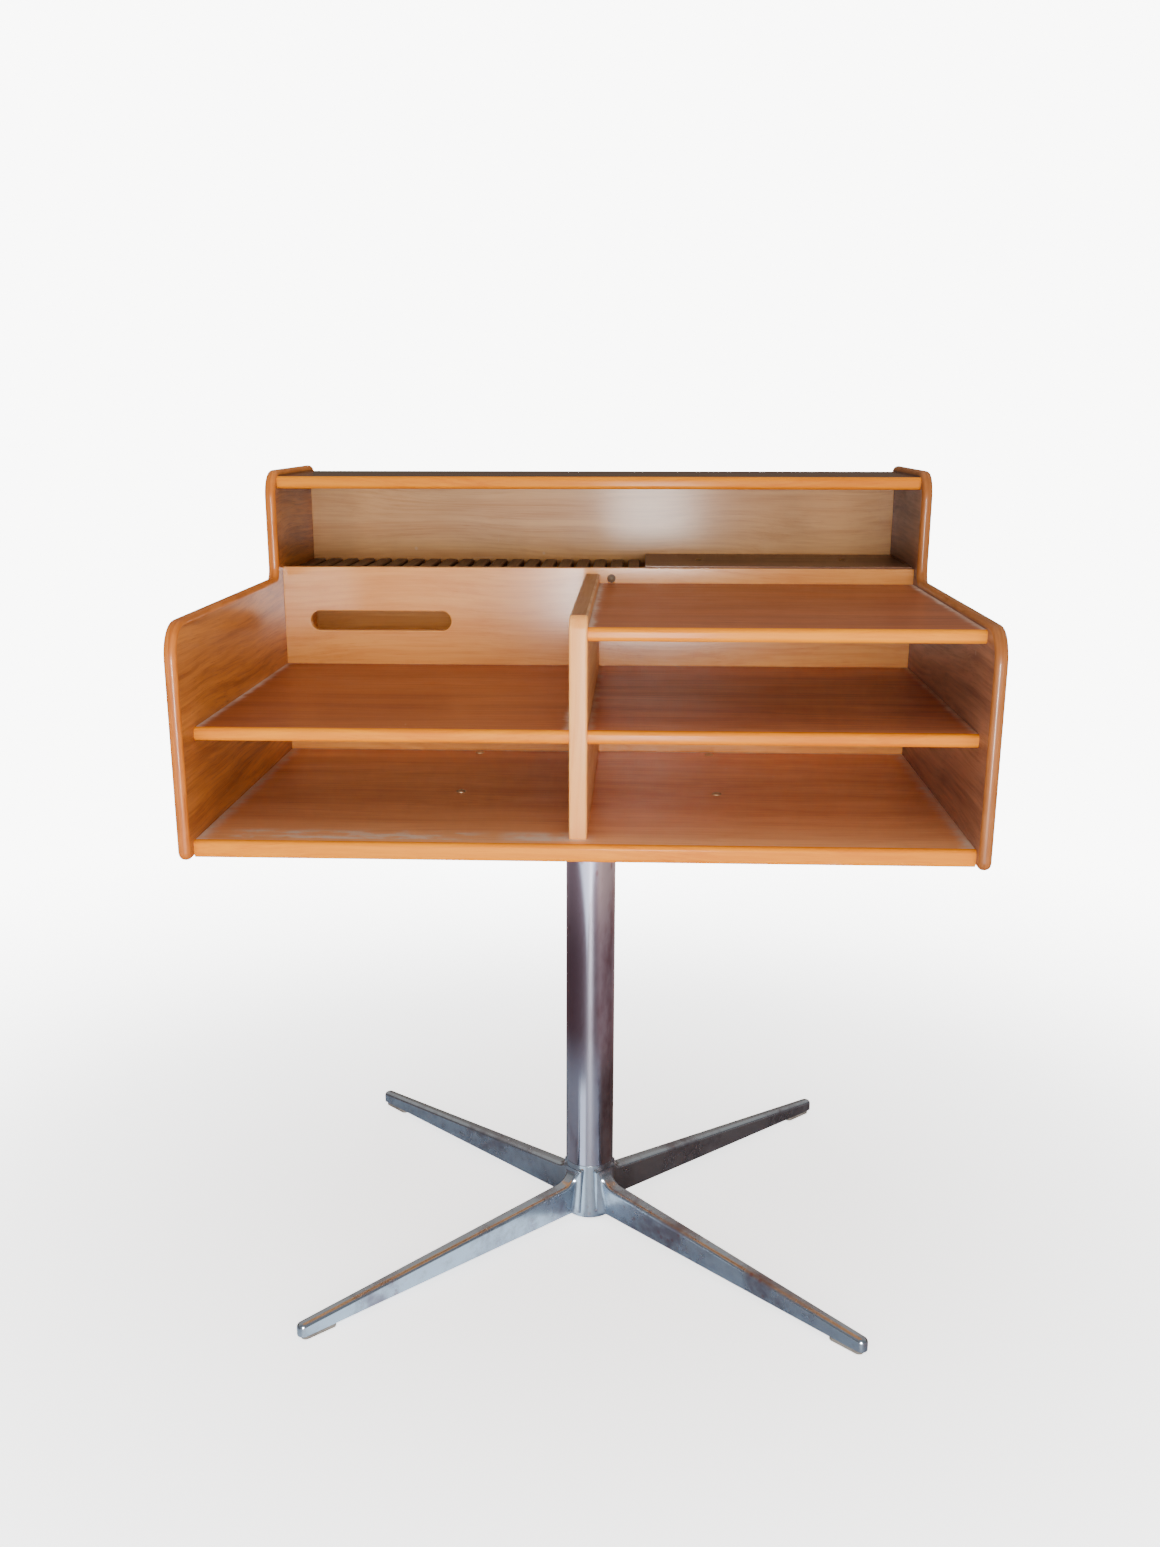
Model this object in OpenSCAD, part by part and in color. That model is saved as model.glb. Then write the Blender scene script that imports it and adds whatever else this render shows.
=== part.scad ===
// Swivel shelf stand: a stepped teak cabinet that turns on a metal column with a four-legged star base.
// Origin: on the column's axis, at floor level. +X is the sitter's right, +Y the back, +Z up. Millimetres.

/* [Cabinet] */
// Width over the two side panels
cab_w = 1000; // [850:1:1200]
// Depth of the side panels, front to back
cab_d = 870; // [725:1:1050]
// Height of the cabinet's underside above the floor
stand_h = 706; // [560:1:850]
// Depth of the low front part of each side panel
step_d = 557; // [470:1:580]
// How far the inner panel stands behind the step in the sides
inner_setback = 31; // [10:1:40]
// From the sides' rear edges to the front face of the back panel
back_setback = 44; // [36:1:60]
// Height of the cable opening under the back panel
back_gap = 130; // [40:1:160]

/* [Boards] */
// Thickness of a side panel
side_t = 16; // [15:0.5:24]
// Thickness of the shelves and of the compartment floor
shelf_t = 16.5; // [15:0.5:20]
// Thickness of the bottom board
bottom_t = 22; // [18:0.5:28]
// Thickness of the top board
top_t = 18; // [15:0.5:24]
// Thickness of the divider
divider_t = 22.5; // [18:0.5:28]
// Thickness of the inner panel, which has the slot
inner_t = 16; // [12:0.5:20]
// Thickness of the back panel
back_t = 12; // [12:0.5:16]
// Depth of the solid-wood lippings on the board edges
lipping_d = 9; // [7:0.5:14]

/* [Bays] */
// Clear height of the lower bays
low_bay_h = 120; // [90:1:180]
// Clear height between the middle shelf and the right-hand top shelf
high_bay_h = 110; // [80:1:160]
// Height from the compartment floor to the top board
compartment_h = 140; // [100:1:200]
// How far the sides rise above the boards that they end at
side_rise = 9; // [4:0.5:14]
// How far the divider rises above the right-hand top shelf
divider_rise = 14; // [6:0.5:20]
// How far the inner panel rises above the compartment floor
inner_rise = 22.5; // [20:0.5:30]
// Distance of the divider's middle from the cabinet's middle
divider_x = -4.75; // [-80:0.25:80]
// How far the bottom and top boards stand back from the edges of the sides
board_inset = 20; // [8:0.5:30]
// How far the shelves stand back from the front of the sides
shelf_inset = 54; // [30:1:90]
// How far the divider stands back from the front of the sides
divider_inset = 50; // [26:1:86]

/* [Edges] */
// Radius of the low front corner of a side panel
low_corner_r = 45; // [20:1:60]
// Radius of the high front corner of a side panel
high_corner_r = 40; // [20:1:60]
// Radius of the high rear corner of a side panel
rear_corner_r = 25; // [12:1:40]
// Radius of the bottom corners of a side panel
foot_corner_r = 12; // [10:1:20]
// Radius inside the step of a side panel
step_r = 15; // [5:1:25]
// Radius of the divider's top front corner
divider_corner_r = 16; // [8:1:30]
// Rounding of the side panels' edges
side_edge_r = 7; // [2:0.5:7]
// Rounding of the divider's edges
divider_edge_r = 3; // [1:0.5:5]
// Rounding of the lippings
lipping_edge_r = 5.5; // [2:0.5:6]

/* [Slot] */
// Length of the slot in the inner panel
slot_l = 220; // [100:1:300]
// Height of the slot
slot_h = 30; // [15:1:45]
// From the left side panel to the slot
slot_from_side = 40; // [20:1:80]
// From the middle shelf up to the slot's middle
slot_up = 67; // [40:1:80]

/* [Rack] */
// Number of ridges in the grooved rack
ridge_count = 20; // [8:1:20]
// Width of a ridge
ridge_w = 20; // [10:0.5:20]
// Width of a groove
groove_w = 8; // [5:0.5:10]
// Height of the ridges above the compartment floor
ridge_h = 15.5; // [8:0.5:18]
// Thickness of the raised board beside the rack
raised_t = 16; // [12:0.5:18]
// Height of the battens under the raised board
batten_h = 9; // [6:0.5:12]
// Width of a batten
batten_w = 40; // [20:1:60]

/* [Column] */
// Outer radius of the column
column_r = 37.5; // [34:0.5:45]
// Wall of the column tube
column_wall = 3; // [2:0.25:4]
// Gap between the cabinet's underside and the top of the tube
column_gap = 18; // [16:1:26]

/* [Star base] */
// Reach of each leg from the column's axis
leg_reach = 557; // [400:1:670]
// Height of the hub
hub_h = 96; // [90:1:120]
// Height of a leg's top edge at the hub
leg_root_top = 66; // [50:1:80]
// Height of a leg's lower edge at the hub
leg_root_bottom = 12; // [8:1:20]
// Width of a leg's top at the hub
leg_root_w = 26; // [20:1:34]
// Width of a leg's lower edge at the hub
leg_keel_w = 14; // [10:1:20]
// Height of a leg's top at the toe
leg_toe_top = 25; // [22:1:32]
// Width of a leg at the toe
leg_toe_w = 18; // [16:1:24]
// Thickness of the glide pads under the toes
glide_t = 6; // [4:0.5:8]
// Radius of the fillet between a leg and the hub
flare_r = 26; // [12:1:26]

/* [Swivel] */
// Radius of the spindle
spindle_r = 12.5; // [10:0.5:14]
// Running clearance between the spindle and its bushes, on the radius
run_gap = 0.05; // [0.03:0.01:0.1]
// Wall of the two spindle bushes
bush_wall = 3.5; // [2.5:0.5:5]
// Length of each bush
bush_l = 40; // [25:1:50]
// Distance from the top of the upper bush to the bottom of the lower one
bearing_span = 145; // [110:1:200]
// Thickness of the thrust washer
thrust_t = 3; // [2:0.5:4]
// Thickness of the spider's steel arms
spider_t = 5; // [4:0.5:8]
// Distance between the spider's bolts, side to side
bolt_span_x = 360; // [260:1:420]
// Distance between the spider's bolts, front to back
bolt_span_y = 266; // [200:1:340]

/* [Fastenings] */
// Radius of the spider's bolts
bolt_r = 4; // [3:0.5:5]
// Radius of the wooden dowels
dowel_r = 4; // [3:0.5:4]
// How deep a dowel goes into a side panel or the divider
dowel_in = 11.5; // [8:0.5:11.5]
// How deep a dowel goes into the end of a board
dowel_out = 20; // [14:1:26]

/* [Hidden] */
$fn = 64;

// Clearances
press_gap = 0.05;   // between pieces that are pressed or glued together
hole_gap = 0.4;     // around a bolt in its hole
seat_gap = 0.2;     // between pieces that only stand beside each other
tip_gap = 0.5;      // left at the end of a blind hole

// Faces of the cabinet, from front to back
in_x = cab_w / 2 - side_t;
front_y = -cab_d / 2;
back_y = cab_d / 2;
step_y = front_y + step_d;
board_front_y = front_y + board_inset;
board_back_y = back_y - board_inset;
shelf_front_y = front_y + shelf_inset;
divider_front_y = front_y + divider_inset;
inner_y = step_y + inner_setback;
floor_front_y = inner_y + inner_t;
back_face_y = back_y - back_setback;
top_front_y = step_y + board_inset;

// Levels, from the bottom up
bottom_z = stand_h;
bottom_top_z = bottom_z + bottom_t;
mid_z = bottom_top_z + low_bay_h;
mid_top_z = mid_z + shelf_t;
high_z = mid_top_z + high_bay_h;
high_top_z = high_z + shelf_t;
low_side_top_z = high_top_z + side_rise;
divider_top_z = high_top_z + divider_rise;
inner_top_z = high_top_z + inner_rise;
top_z = high_top_z + compartment_h;
side_top_z = top_z + top_t + side_rise;

// The divider's two faces
divider_x0 = divider_x - divider_t / 2;
divider_x1 = divider_x + divider_t / 2;

// The rack and the raised board
ridge_pitch = ridge_w + groove_w;
raised_x0 = -in_x + ridge_count * ridge_pitch;
raised_z = high_top_z + batten_h;
raised_w = in_x - raised_x0;
screw_xs = [raised_x0 + 0.21 * raised_w, raised_x0 + 0.77 * raised_w];
screw_r = 2;
screw_bite = 7;
floor_mid_y = (floor_front_y + back_face_y) / 2;

// Pedestal levels
tube_top_z = stand_h - column_gap;
tube_in_r = column_r - column_wall;
plug_r = tube_in_r - press_gap;
housing_flange_t = 5;
housing_top_z = tube_top_z + housing_flange_t;
housing_disc_t = 20;
bearing_bottom_z = housing_top_z - bearing_span;
bush_r = spindle_r + run_gap + bush_wall;
barrel_r = bush_r + 5;
thrust_top_z = housing_top_z + thrust_t;
spider_z = stand_h - spider_t;
collar_r = 32;
washer_t = 2;
clip_t = 1.2;
clip_depth = 1;
clip_gap = 0.1;
washer_z = bearing_bottom_z - seat_gap - washer_t;
clip_z = washer_z - seat_gap - clip_t;
spindle_end_z = clip_z - 6;
spider_arm_w = 36;
spider_disc_r = 62;
spider_washer_t = 1.6;
spider_nut_t = 6.5;

// Hub
hub_z = 4;
spigot_h = 34;
recess_r = 24;
recess_h = 30;
web_t = 16;
tie_r = 6;
tie_head_r = 11;
tie_head_t = 7.5;
tie_washer_r = 18;
tie_washer_t = 2.5;
tie_end = 4;
tie_head_z = hub_z + recess_h - tie_washer_t - tie_head_t;
plug_z = hub_h + spigot_h + tie_end;
plug_t = 14;
leg_toe_r = leg_toe_w / 2;
leg_angles = [45, 135, 225, 315];

// Glides
glide_l = 56;
glide_w = 14;
glide_reach = leg_reach - 34;
stem_r = 2.5;
stem_h = 8;

// n places from a to b, both included
function spread(a, b, n) = [for (i = [0 : n - 1]) a + (b - a) * i / (n - 1)];
function grid(ys, zs) = [for (y = ys) for (z = zs) [y, z]];

// Distance of the outermost dowels from the ends of a joint, on the long boards, the top board,
// the upright panels and the compartment floor
board_end = 60;
top_end = 30;
panel_end = 40;
floor_end = 20;

// Where the dowels stand in the side panels, as [y, z]
back_low_z = bottom_top_z + back_gap;
bottom_sites = grid(spread(board_front_y + board_end, board_back_y - board_end, 5), [bottom_z + bottom_t / 2]);
mid_sites = grid(spread(shelf_front_y + board_end, inner_y - board_end, 3), [mid_z + shelf_t / 2]);
high_sites = grid(spread(shelf_front_y + board_end, inner_y - board_end, 3), [high_z + shelf_t / 2]);
floor_sites = grid(spread(floor_front_y + floor_end, back_face_y - floor_end, 2), [high_z + shelf_t / 2]);
top_sites = grid(spread(top_front_y + top_end, board_back_y - top_end, 3), [top_z + top_t / 2]);
inner_sites = grid([inner_y + inner_t / 2], spread(bottom_top_z + panel_end, inner_top_z - panel_end, 3));
back_sites = grid([back_face_y + back_t / 2], spread(back_low_z + panel_end, top_z - panel_end, 3));
left_sites = concat(bottom_sites, mid_sites, floor_sites, top_sites, inner_sites, back_sites);
right_sites = concat(left_sites, high_sites);
divider_ys = spread(divider_front_y + board_end, inner_y - board_end, 3);
bolt_places = [for (x = [-0.5, 0.5]) for (y = [-0.5, 0.5]) [x * bolt_span_x, y * bolt_span_y]];

function unit(v) = v / norm(v);
function left_of(d) = [-d[1], d[0]];
function angle_of(d) = atan2(d[1], d[0]);
function xy(p) = [p[0], p[1]];
// Directions into and out of corner i of a closed path
function dir_in(path, i) = unit(xy(path[i]) - xy(path[(i + len(path) - 1) % len(path)]));
function dir_out(path, i) = unit(xy(path[(i + 1) % len(path)]) - xy(path[i]));
function turns_out(path, i) = cross(dir_in(path, i), dir_out(path, i)) > 0;
// Centre of the arc that rounds corner i with the radius r
function arc_centre(path, i, r) = xy(path[i]) - r * dir_in(path, i) + r * dir_out(path, i);
// The path moved inwards by e, with its radii to match
function inset_path(path, e) = [
    for (i = [0 : len(path) - 1])
        let (p = xy(path[i]) + e * left_of(dir_in(path, i)) + e * left_of(dir_out(path, i)))
            [p[0], p[1], path[i][2] + (turns_out(path, i) ? -e : e)]
];

// The corner of a square that lies outside a quarter circle
module spandrel(p, m, r) {
    difference() {
        polygon([p, [p[0], m[1]], m, [m[0], p[1]]]);
        translate(m) circle(r);
    }
}

// A closed outline of square corners, each rounded by its own radius.
// The path is [[x, y, radius], ...], anticlockwise.
module rounded_outline(path) {
    corners = [0 : len(path) - 1];
    difference() {
        union() {
            polygon([for (p = path) xy(p)]);
            for (i = corners)
                if (!turns_out(path, i))
                    spandrel(xy(path[i]), arc_centre(path, i, path[i][2]), path[i][2]);
        }
        for (i = corners)
            if (turns_out(path, i))
                spandrel(xy(path[i]), arc_centre(path, i, path[i][2]), path[i][2]);
    }
}

// Section of a rounded board edge: it reaches e outwards and "into" inwards from the line x = 0
module edge_section(t, e, into) {
    translate([-into, 0]) square([into, t]);
    translate([0, e]) square([e, t - 2 * e]);
    intersection() {
        square([e, t]);
        union() {
            translate([0, e]) circle(e);
            translate([0, t - e]) circle(e);
        }
    }
}

// A board of thickness t with the outline path and all its edges rounded by e
module rounded_plate(path, t, e) {
    core = inset_path(path, e);
    into = 2;
    linear_extrude(t) rounded_outline(core);
    for (i = [0 : len(path) - 1]) {
        j = (i + 1) % len(path);
        d = dir_out(path, i);
        r = path[i][2];
        from = xy(path[i]) + r * d;
        to = xy(path[j]) - path[j][2] * d;
        translate(to + e * left_of(d)) rotate([90, 0, angle_of(d) - 90])
            linear_extrude(norm(to - from)) edge_section(t, e, into);
        translate(arc_centre(path, i, r))
            if (turns_out(path, i))
                rotate(angle_of(dir_in(path, i)) - 90) rotate_extrude(angle = 90)
                    translate([r - e, 0]) edge_section(t, e, into);
            else
                rotate(angle_of(dir_in(path, i))) rotate_extrude(angle = 90)
                    translate([r + e, 0]) mirror([1, 0]) edge_section(t, e, into);
    }
}

// A plate drawn in the Y-Z plane that runs from x to x + its thickness
module upright(x) {
    translate([x, 0, 0]) rotate([90, 0, 90]) children();
}

// A box between two corners
module block(a, b) {
    translate(a) cube(b - a);
}

// Cylinders along X at each [y, z] of sites, from x - a to x + b
module pegs(sites, x, a, b, r) {
    for (s = sites)
        translate([x - a, s[0], s[1]]) rotate([0, 90, 0]) cylinder(h = a + b, r = r);
}

// Dowels at a joint plane across X, each with its own depth to the left and to the right
module joint_pegs(sites, x, left_depth, right_depth) {
    pegs(sites, x, left_depth, right_depth, dowel_r);
}

module joint_holes(sites, x, left_depth, right_depth) {
    pegs(sites, x, left_depth + tip_gap, right_depth + tip_gap, dowel_r + press_gap);
}

// Lipping along X on a board edge: face_y is the outer face, and way is -1 at the front and 1 at the back
module lipping(x0, x1, face_y, z, t, way) {
    e = lipping_edge_r;
    translate([way < 0 ? x1 : x0, face_y - way * e, z]) rotate([90, 0, way * 90])
        linear_extrude(x1 - x0) edge_section(t, e, lipping_d - e);
}

// ---- Star base and column ----

module leg() {
    root_x = column_r - 8;
    root_edge = 8;
    toe_x = leg_reach - leg_toe_r;
    hull() {
        for (y = [-1, 1])
            translate([root_x, y * (leg_root_w / 2 - root_edge), leg_root_top - root_edge])
                rotate([0, 90, 0]) cylinder(h = 1, r = root_edge, $fn = 32);
        translate([root_x, -leg_keel_w / 2, leg_root_bottom]) cube([1, leg_keel_w, 1]);
        translate([toe_x, 0, leg_toe_top - leg_toe_r]) sphere(leg_toe_r, $fn = 32);
        translate([toe_x, 0, glide_t]) cylinder(h = 4, r = leg_toe_r - 1, $fn = 32);
    }
}

// Fillet that carries each leg's top edge up the hub
module leg_flares() {
    foot_z = leg_root_top - 4;
    intersection() {
        rotate_extrude() difference() {
            translate([column_r - 2, foot_z]) square([flare_r + 2, flare_r]);
            translate([column_r + flare_r, foot_z + flare_r]) circle(flare_r);
        }
        for (a = leg_angles)
            rotate(a) block([0, -leg_root_w / 2 + 5, 0], [column_r + flare_r, leg_root_w / 2 - 5, hub_h]);
    }
}

module star_base() {
    color("#9aa0a8") difference() {
        union() {
            translate([0, 0, hub_z]) cylinder(h = hub_h - hub_z, r = column_r, $fn = 96);
            translate([0, 0, hub_z]) cylinder(h = hub_h + spigot_h - hub_z, r = plug_r, $fn = 96);
            for (a = leg_angles)
                rotate(a) leg();
            leg_flares();
        }
        translate([0, 0, hub_z - 1]) cylinder(h = recess_h + 1, r = recess_r);
        translate([0, 0, hub_z]) cylinder(h = hub_h, r = tie_r + hole_gap);
        translate([0, 0, hub_z + recess_h + web_t]) cylinder(h = hub_h + spigot_h, r = recess_r);
        for (a = leg_angles)
            rotate(a) translate([glide_reach, 0, 0])
                cylinder(h = glide_t + stem_h + tip_gap, r = stem_r + press_gap);
    }
}

module glide_pads() {
    half = (glide_l - glide_w) / 2;
    color("#6b6660")
        for (a = leg_angles)
            rotate(a) translate([glide_reach, 0, 0]) {
                linear_extrude(glide_t) union() {
                    square([2 * half, glide_w], center = true);
                    translate([-half, 0]) circle(glide_w / 2);
                    translate([half, 0]) circle(glide_w / 2);
                }
                cylinder(h = glide_t + stem_h, r = stem_r);
            }
}

module tie_bolt() {
    color("#8a8c90") translate([0, 0, tie_head_z]) {
        cylinder(h = tie_head_t, r = tie_head_r, $fn = 6);
        cylinder(h = plug_z + plug_t + tie_end - tie_head_z, r = tie_r);
    }
}

module tie_washer() {
    color("#a8aaac") translate([0, 0, tie_head_z + tie_head_t]) difference() {
        cylinder(h = tie_washer_t, r = tie_washer_r);
        translate([0, 0, -1]) cylinder(h = tie_washer_t + 2, r = tie_r + hole_gap);
    }
}

// Threaded disc, fixed in the tube, that the tie bolt pulls down onto the hub
module column_plug() {
    color("#77797d") translate([0, 0, plug_z]) difference() {
        cylinder(h = plug_t, r = plug_r);
        translate([0, 0, -1]) cylinder(h = plug_t + 2, r = tie_r + press_gap);
    }
}

module column_tube() {
    color("#a3a2ab") translate([0, 0, hub_h]) difference() {
        cylinder(h = tube_top_z - hub_h, r = column_r, $fn = 96);
        translate([0, 0, -1]) cylinder(h = tube_top_z - hub_h + 2, r = tube_in_r, $fn = 96);
    }
}

// ---- Swivel bearing ----

module bearing_housing() {
    low_z = bearing_bottom_z;
    color("#85878b") difference() {
        union() {
            translate([0, 0, tube_top_z]) cylinder(h = housing_flange_t, r = column_r, $fn = 96);
            translate([0, 0, tube_top_z - housing_disc_t]) cylinder(h = housing_disc_t, r = plug_r);
            translate([0, 0, low_z]) cylinder(h = tube_top_z - low_z, r = barrel_r);
            translate([0, 0, low_z]) cylinder(h = housing_disc_t, r = plug_r);
        }
        translate([0, 0, low_z - 1]) cylinder(h = bearing_span + 2, r = bush_r + press_gap);
    }
}

module bush(z) {
    color("#c9c3b2") translate([0, 0, z]) difference() {
        cylinder(h = bush_l, r = bush_r);
        translate([0, 0, -1]) cylinder(h = bush_l + 2, r = spindle_r + run_gap);
    }
}

module upper_bush() {
    bush(housing_top_z - bush_l);
}

module lower_bush() {
    bush(bearing_bottom_z);
}

module thrust_washer() {
    color("#e0dccf") translate([0, 0, housing_top_z]) difference() {
        cylinder(h = thrust_t, r = collar_r);
        translate([0, 0, -1]) cylinder(h = thrust_t + 2, r = spindle_r + hole_gap);
    }
}

module spindle() {
    collar_z = thrust_top_z + run_gap;
    color("#b5b7ba") difference() {
        union() {
            translate([0, 0, collar_z]) cylinder(h = spider_z - collar_z, r = collar_r);
            translate([0, 0, spindle_end_z]) cylinder(h = stand_h - 1 - spindle_end_z, r = spindle_r);
        }
        translate([0, 0, clip_z - clip_gap]) difference() {
            cylinder(h = clip_t + 2 * clip_gap, r = spindle_r + 1);
            translate([0, 0, -1]) cylinder(h = clip_t + 2, r = spindle_r - clip_depth);
        }
    }
}

module retaining_washer() {
    color("#a8aaac") translate([0, 0, washer_z]) difference() {
        cylinder(h = washer_t, r = barrel_r);
        translate([0, 0, -1]) cylinder(h = washer_t + 2, r = spindle_r + run_gap);
    }
}

module circlip() {
    in_r = spindle_r - clip_depth + press_gap;
    color("#5f6166") translate([0, 0, clip_z]) rotate(30)
        rotate_extrude(angle = 300) translate([in_r, 0]) square([bush_wall, clip_t]);
}

// Four flat steel arms under the bottom board, welded to the spindle's collar
module spider() {
    arm_l = norm([bolt_span_x, bolt_span_y]) / 2;
    arm_angle = atan2(bolt_span_y, bolt_span_x);
    color("#6f7074") translate([0, 0, spider_z]) difference() {
        linear_extrude(spider_t) union() {
            circle(spider_disc_r);
            for (a = [arm_angle, -arm_angle])
                rotate(a) {
                    square([2 * arm_l, spider_arm_w], center = true);
                    for (x = [-arm_l, arm_l])
                        translate([x, 0]) circle(spider_arm_w / 2);
                }
        }
        for (p = bolt_places)
            translate([p[0], p[1], -1]) cylinder(h = spider_t + 2, r = bolt_r + hole_gap);
        translate([0, 0, -1]) cylinder(h = spider_t + 2, r = spindle_r + press_gap);
    }
}

module spider_bolts() {
    head_r = 6.8;
    head_h = 3.4;
    dome_r = 10;
    tail = 14;
    slot_w = 1.2;
    color("#b9a58a")
        for (p = bolt_places) {
            translate([p[0], p[1], bottom_top_z]) difference() {
                rotate_extrude() intersection() {
                    square([head_r, head_h]);
                    translate([0, head_h - dome_r]) circle(dome_r);
                }
                translate([0, 0, head_h - 1]) block([-4.5, -slot_w / 2, 0], [4.5, slot_w / 2, 2]);
            }
            translate([p[0], p[1], spider_z - tail])
                cylinder(h = bottom_top_z + 0.2 - spider_z + tail, r = bolt_r);
        }
}

module spider_washers() {
    color("#a8aaac")
        for (p = bolt_places)
            translate([p[0], p[1], spider_z - spider_washer_t]) difference() {
                cylinder(h = spider_washer_t, r = 2 * bolt_r);
                translate([0, 0, -1]) cylinder(h = spider_washer_t + 2, r = bolt_r + hole_gap);
            }
}

module spider_nuts() {
    color("#8a8c90")
        for (p = bolt_places)
            translate([p[0], p[1], spider_z - spider_washer_t - spider_nut_t]) difference() {
                cylinder(h = spider_nut_t, r = 1.88 * bolt_r, $fn = 6);
                translate([0, 0, -1]) cylinder(h = spider_nut_t + 2, r = bolt_r + press_gap);
            }
}

// ---- Cabinet ----

module bottom_board() {
    color("#8f5330") difference() {
        block([-in_x, board_front_y + lipping_d, bottom_z], [in_x, board_back_y - lipping_d, bottom_top_z]);
        joint_holes(bottom_sites, -in_x, dowel_in, dowel_out);
        joint_holes(bottom_sites, in_x, dowel_out, dowel_in);
        for (p = bolt_places)
            translate([p[0], p[1], bottom_z - 1]) cylinder(h = bottom_t + 2, r = bolt_r + hole_gap);
        for (y = divider_ys)
            translate([divider_x, y, bottom_top_z - dowel_in - tip_gap])
                cylinder(h = dowel_in + tip_gap + 1, r = dowel_r + press_gap);
    }
}

module bottom_front_lipping() {
    color("#d9954a") lipping(-in_x, in_x, board_front_y, bottom_z, bottom_t, -1);
}

module bottom_rear_lipping() {
    color("#d9954a") lipping(-in_x, in_x, board_back_y, bottom_z, bottom_t, 1);
}

// Stepped outline of a side panel: low at the front, high at the back
side_path = [
    [front_y, bottom_z, foot_corner_r],
    [back_y, bottom_z, foot_corner_r],
    [back_y, side_top_z, rear_corner_r],
    [step_y, side_top_z, high_corner_r],
    [step_y, low_side_top_z, step_r],
    [front_y, low_side_top_z, low_corner_r]
];

module side_panel_left() {
    color("#a5622f") difference() {
        upright(-cab_w / 2) rounded_plate(side_path, side_t, side_edge_r);
        joint_holes(left_sites, -in_x, dowel_in, dowel_out);
    }
}

module side_panel_right() {
    color("#9a5a30") difference() {
        upright(in_x) rounded_plate(side_path, side_t, side_edge_r);
        joint_holes(right_sites, in_x, dowel_out, dowel_in);
    }
}

// Its edges are rounded at the front and the top, and square where it meets other boards
module divider() {
    over = 12;
    path = [
        [divider_front_y, bottom_top_z - over, 6],
        [inner_y + over, bottom_top_z - over, 6],
        [inner_y + over, divider_top_z, 6],
        [divider_front_y, divider_top_z, divider_corner_r]
    ];
    color("#d9a273") difference() {
        intersection() {
            upright(divider_x0) rounded_plate(path, divider_t, divider_edge_r);
            block([divider_x0 - 1, divider_front_y - 1, bottom_top_z], [divider_x1 + 1, inner_y, divider_top_z + 1]);
        }
        pegs(mid_sites, divider_x0, 1, divider_t + 1, dowel_r + press_gap);
        joint_holes(high_sites, divider_x1, dowel_in, dowel_out);
        for (y = divider_ys)
            translate([divider_x, y, bottom_top_z - 1])
                cylinder(h = dowel_out + tip_gap + 1, r = dowel_r + press_gap);
    }
}

module shelf(x0, x1, z) {
    block([x0, shelf_front_y + lipping_d, z], [x1, inner_y, z + shelf_t]);
}

module mid_shelf_left() {
    color("#8a4b2c") difference() {
        shelf(-in_x, divider_x0, mid_z);
        joint_holes(mid_sites, -in_x, dowel_in, dowel_out);
        joint_holes(mid_sites, divider_x0, dowel_out, dowel_in);
    }
}

module mid_shelf_left_lipping() {
    color("#e0a050") lipping(-in_x, divider_x0, shelf_front_y, mid_z, shelf_t, -1);
}

module mid_shelf_right() {
    color("#7d4630") difference() {
        shelf(divider_x1, in_x, mid_z);
        joint_holes(mid_sites, divider_x1, dowel_in, dowel_out);
        joint_holes(mid_sites, in_x, dowel_out, dowel_in);
    }
}

module mid_shelf_right_lipping() {
    color("#e0a050") lipping(divider_x1, in_x, shelf_front_y, mid_z, shelf_t, -1);
}

module right_top_shelf() {
    color("#8f5538") difference() {
        shelf(divider_x1, in_x, high_z);
        joint_holes(high_sites, divider_x1, dowel_in, dowel_out);
        joint_holes(high_sites, in_x, dowel_out, dowel_in);
    }
}

module right_top_shelf_lipping() {
    color("#e0a050") lipping(divider_x1, in_x, shelf_front_y, high_z, shelf_t, -1);
}

slot_x0 = -in_x + slot_from_side;
slot_z = mid_top_z + slot_up;
cap_from_divider = 18;
cap_up = 7;
cap_x = divider_x1 + cap_from_divider;
cap_z = high_top_z + cap_up;
cap_r = 6.5;
cap_stem_r = 4;
cap_stem_l = 8;

module inner_panel() {
    end_r = slot_h / 2;
    color("#d29a66") difference() {
        block([-in_x, inner_y, bottom_top_z], [in_x, floor_front_y, inner_top_z]);
        translate([0, floor_front_y + 1, 0]) rotate([90, 0, 0]) linear_extrude(inner_t + 2) union() {
            translate([slot_x0 + end_r, slot_z - end_r]) square([slot_l - slot_h, slot_h]);
            translate([slot_x0 + end_r, slot_z]) circle(end_r);
            translate([slot_x0 + slot_l - end_r, slot_z]) circle(end_r);
        }
        translate([cap_x, inner_y - 1, cap_z]) rotate([-90, 0, 0])
            cylinder(h = cap_stem_l + tip_gap + 1, r = cap_stem_r + press_gap);
        joint_holes(inner_sites, -in_x, dowel_in, dowel_out);
        joint_holes(inner_sites, in_x, dowel_out, dowel_in);
    }
}

// Small domed cap above the right-hand top shelf
module panel_cap() {
    dome_r = 8;
    dome_h = 3.5;
    color("#5a4636") translate([cap_x, inner_y, cap_z]) rotate([90, 0, 0]) {
        rotate_extrude() intersection() {
            square([cap_r, dome_h]);
            translate([0, dome_h - dome_r]) circle(dome_r);
        }
        translate([0, 0, -cap_stem_l]) cylinder(h = cap_stem_l + 0.2, r = cap_stem_r);
    }
}

// It stops short of the bottom board, so cables leave the well under it
module back_panel() {
    color("#b98c5c") difference() {
        block([-in_x, back_face_y, back_low_z], [in_x, back_face_y + back_t, top_z]);
        joint_holes(back_sites, -in_x, dowel_in, dowel_out);
        joint_holes(back_sites, in_x, dowel_out, dowel_in);
    }
}

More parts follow.
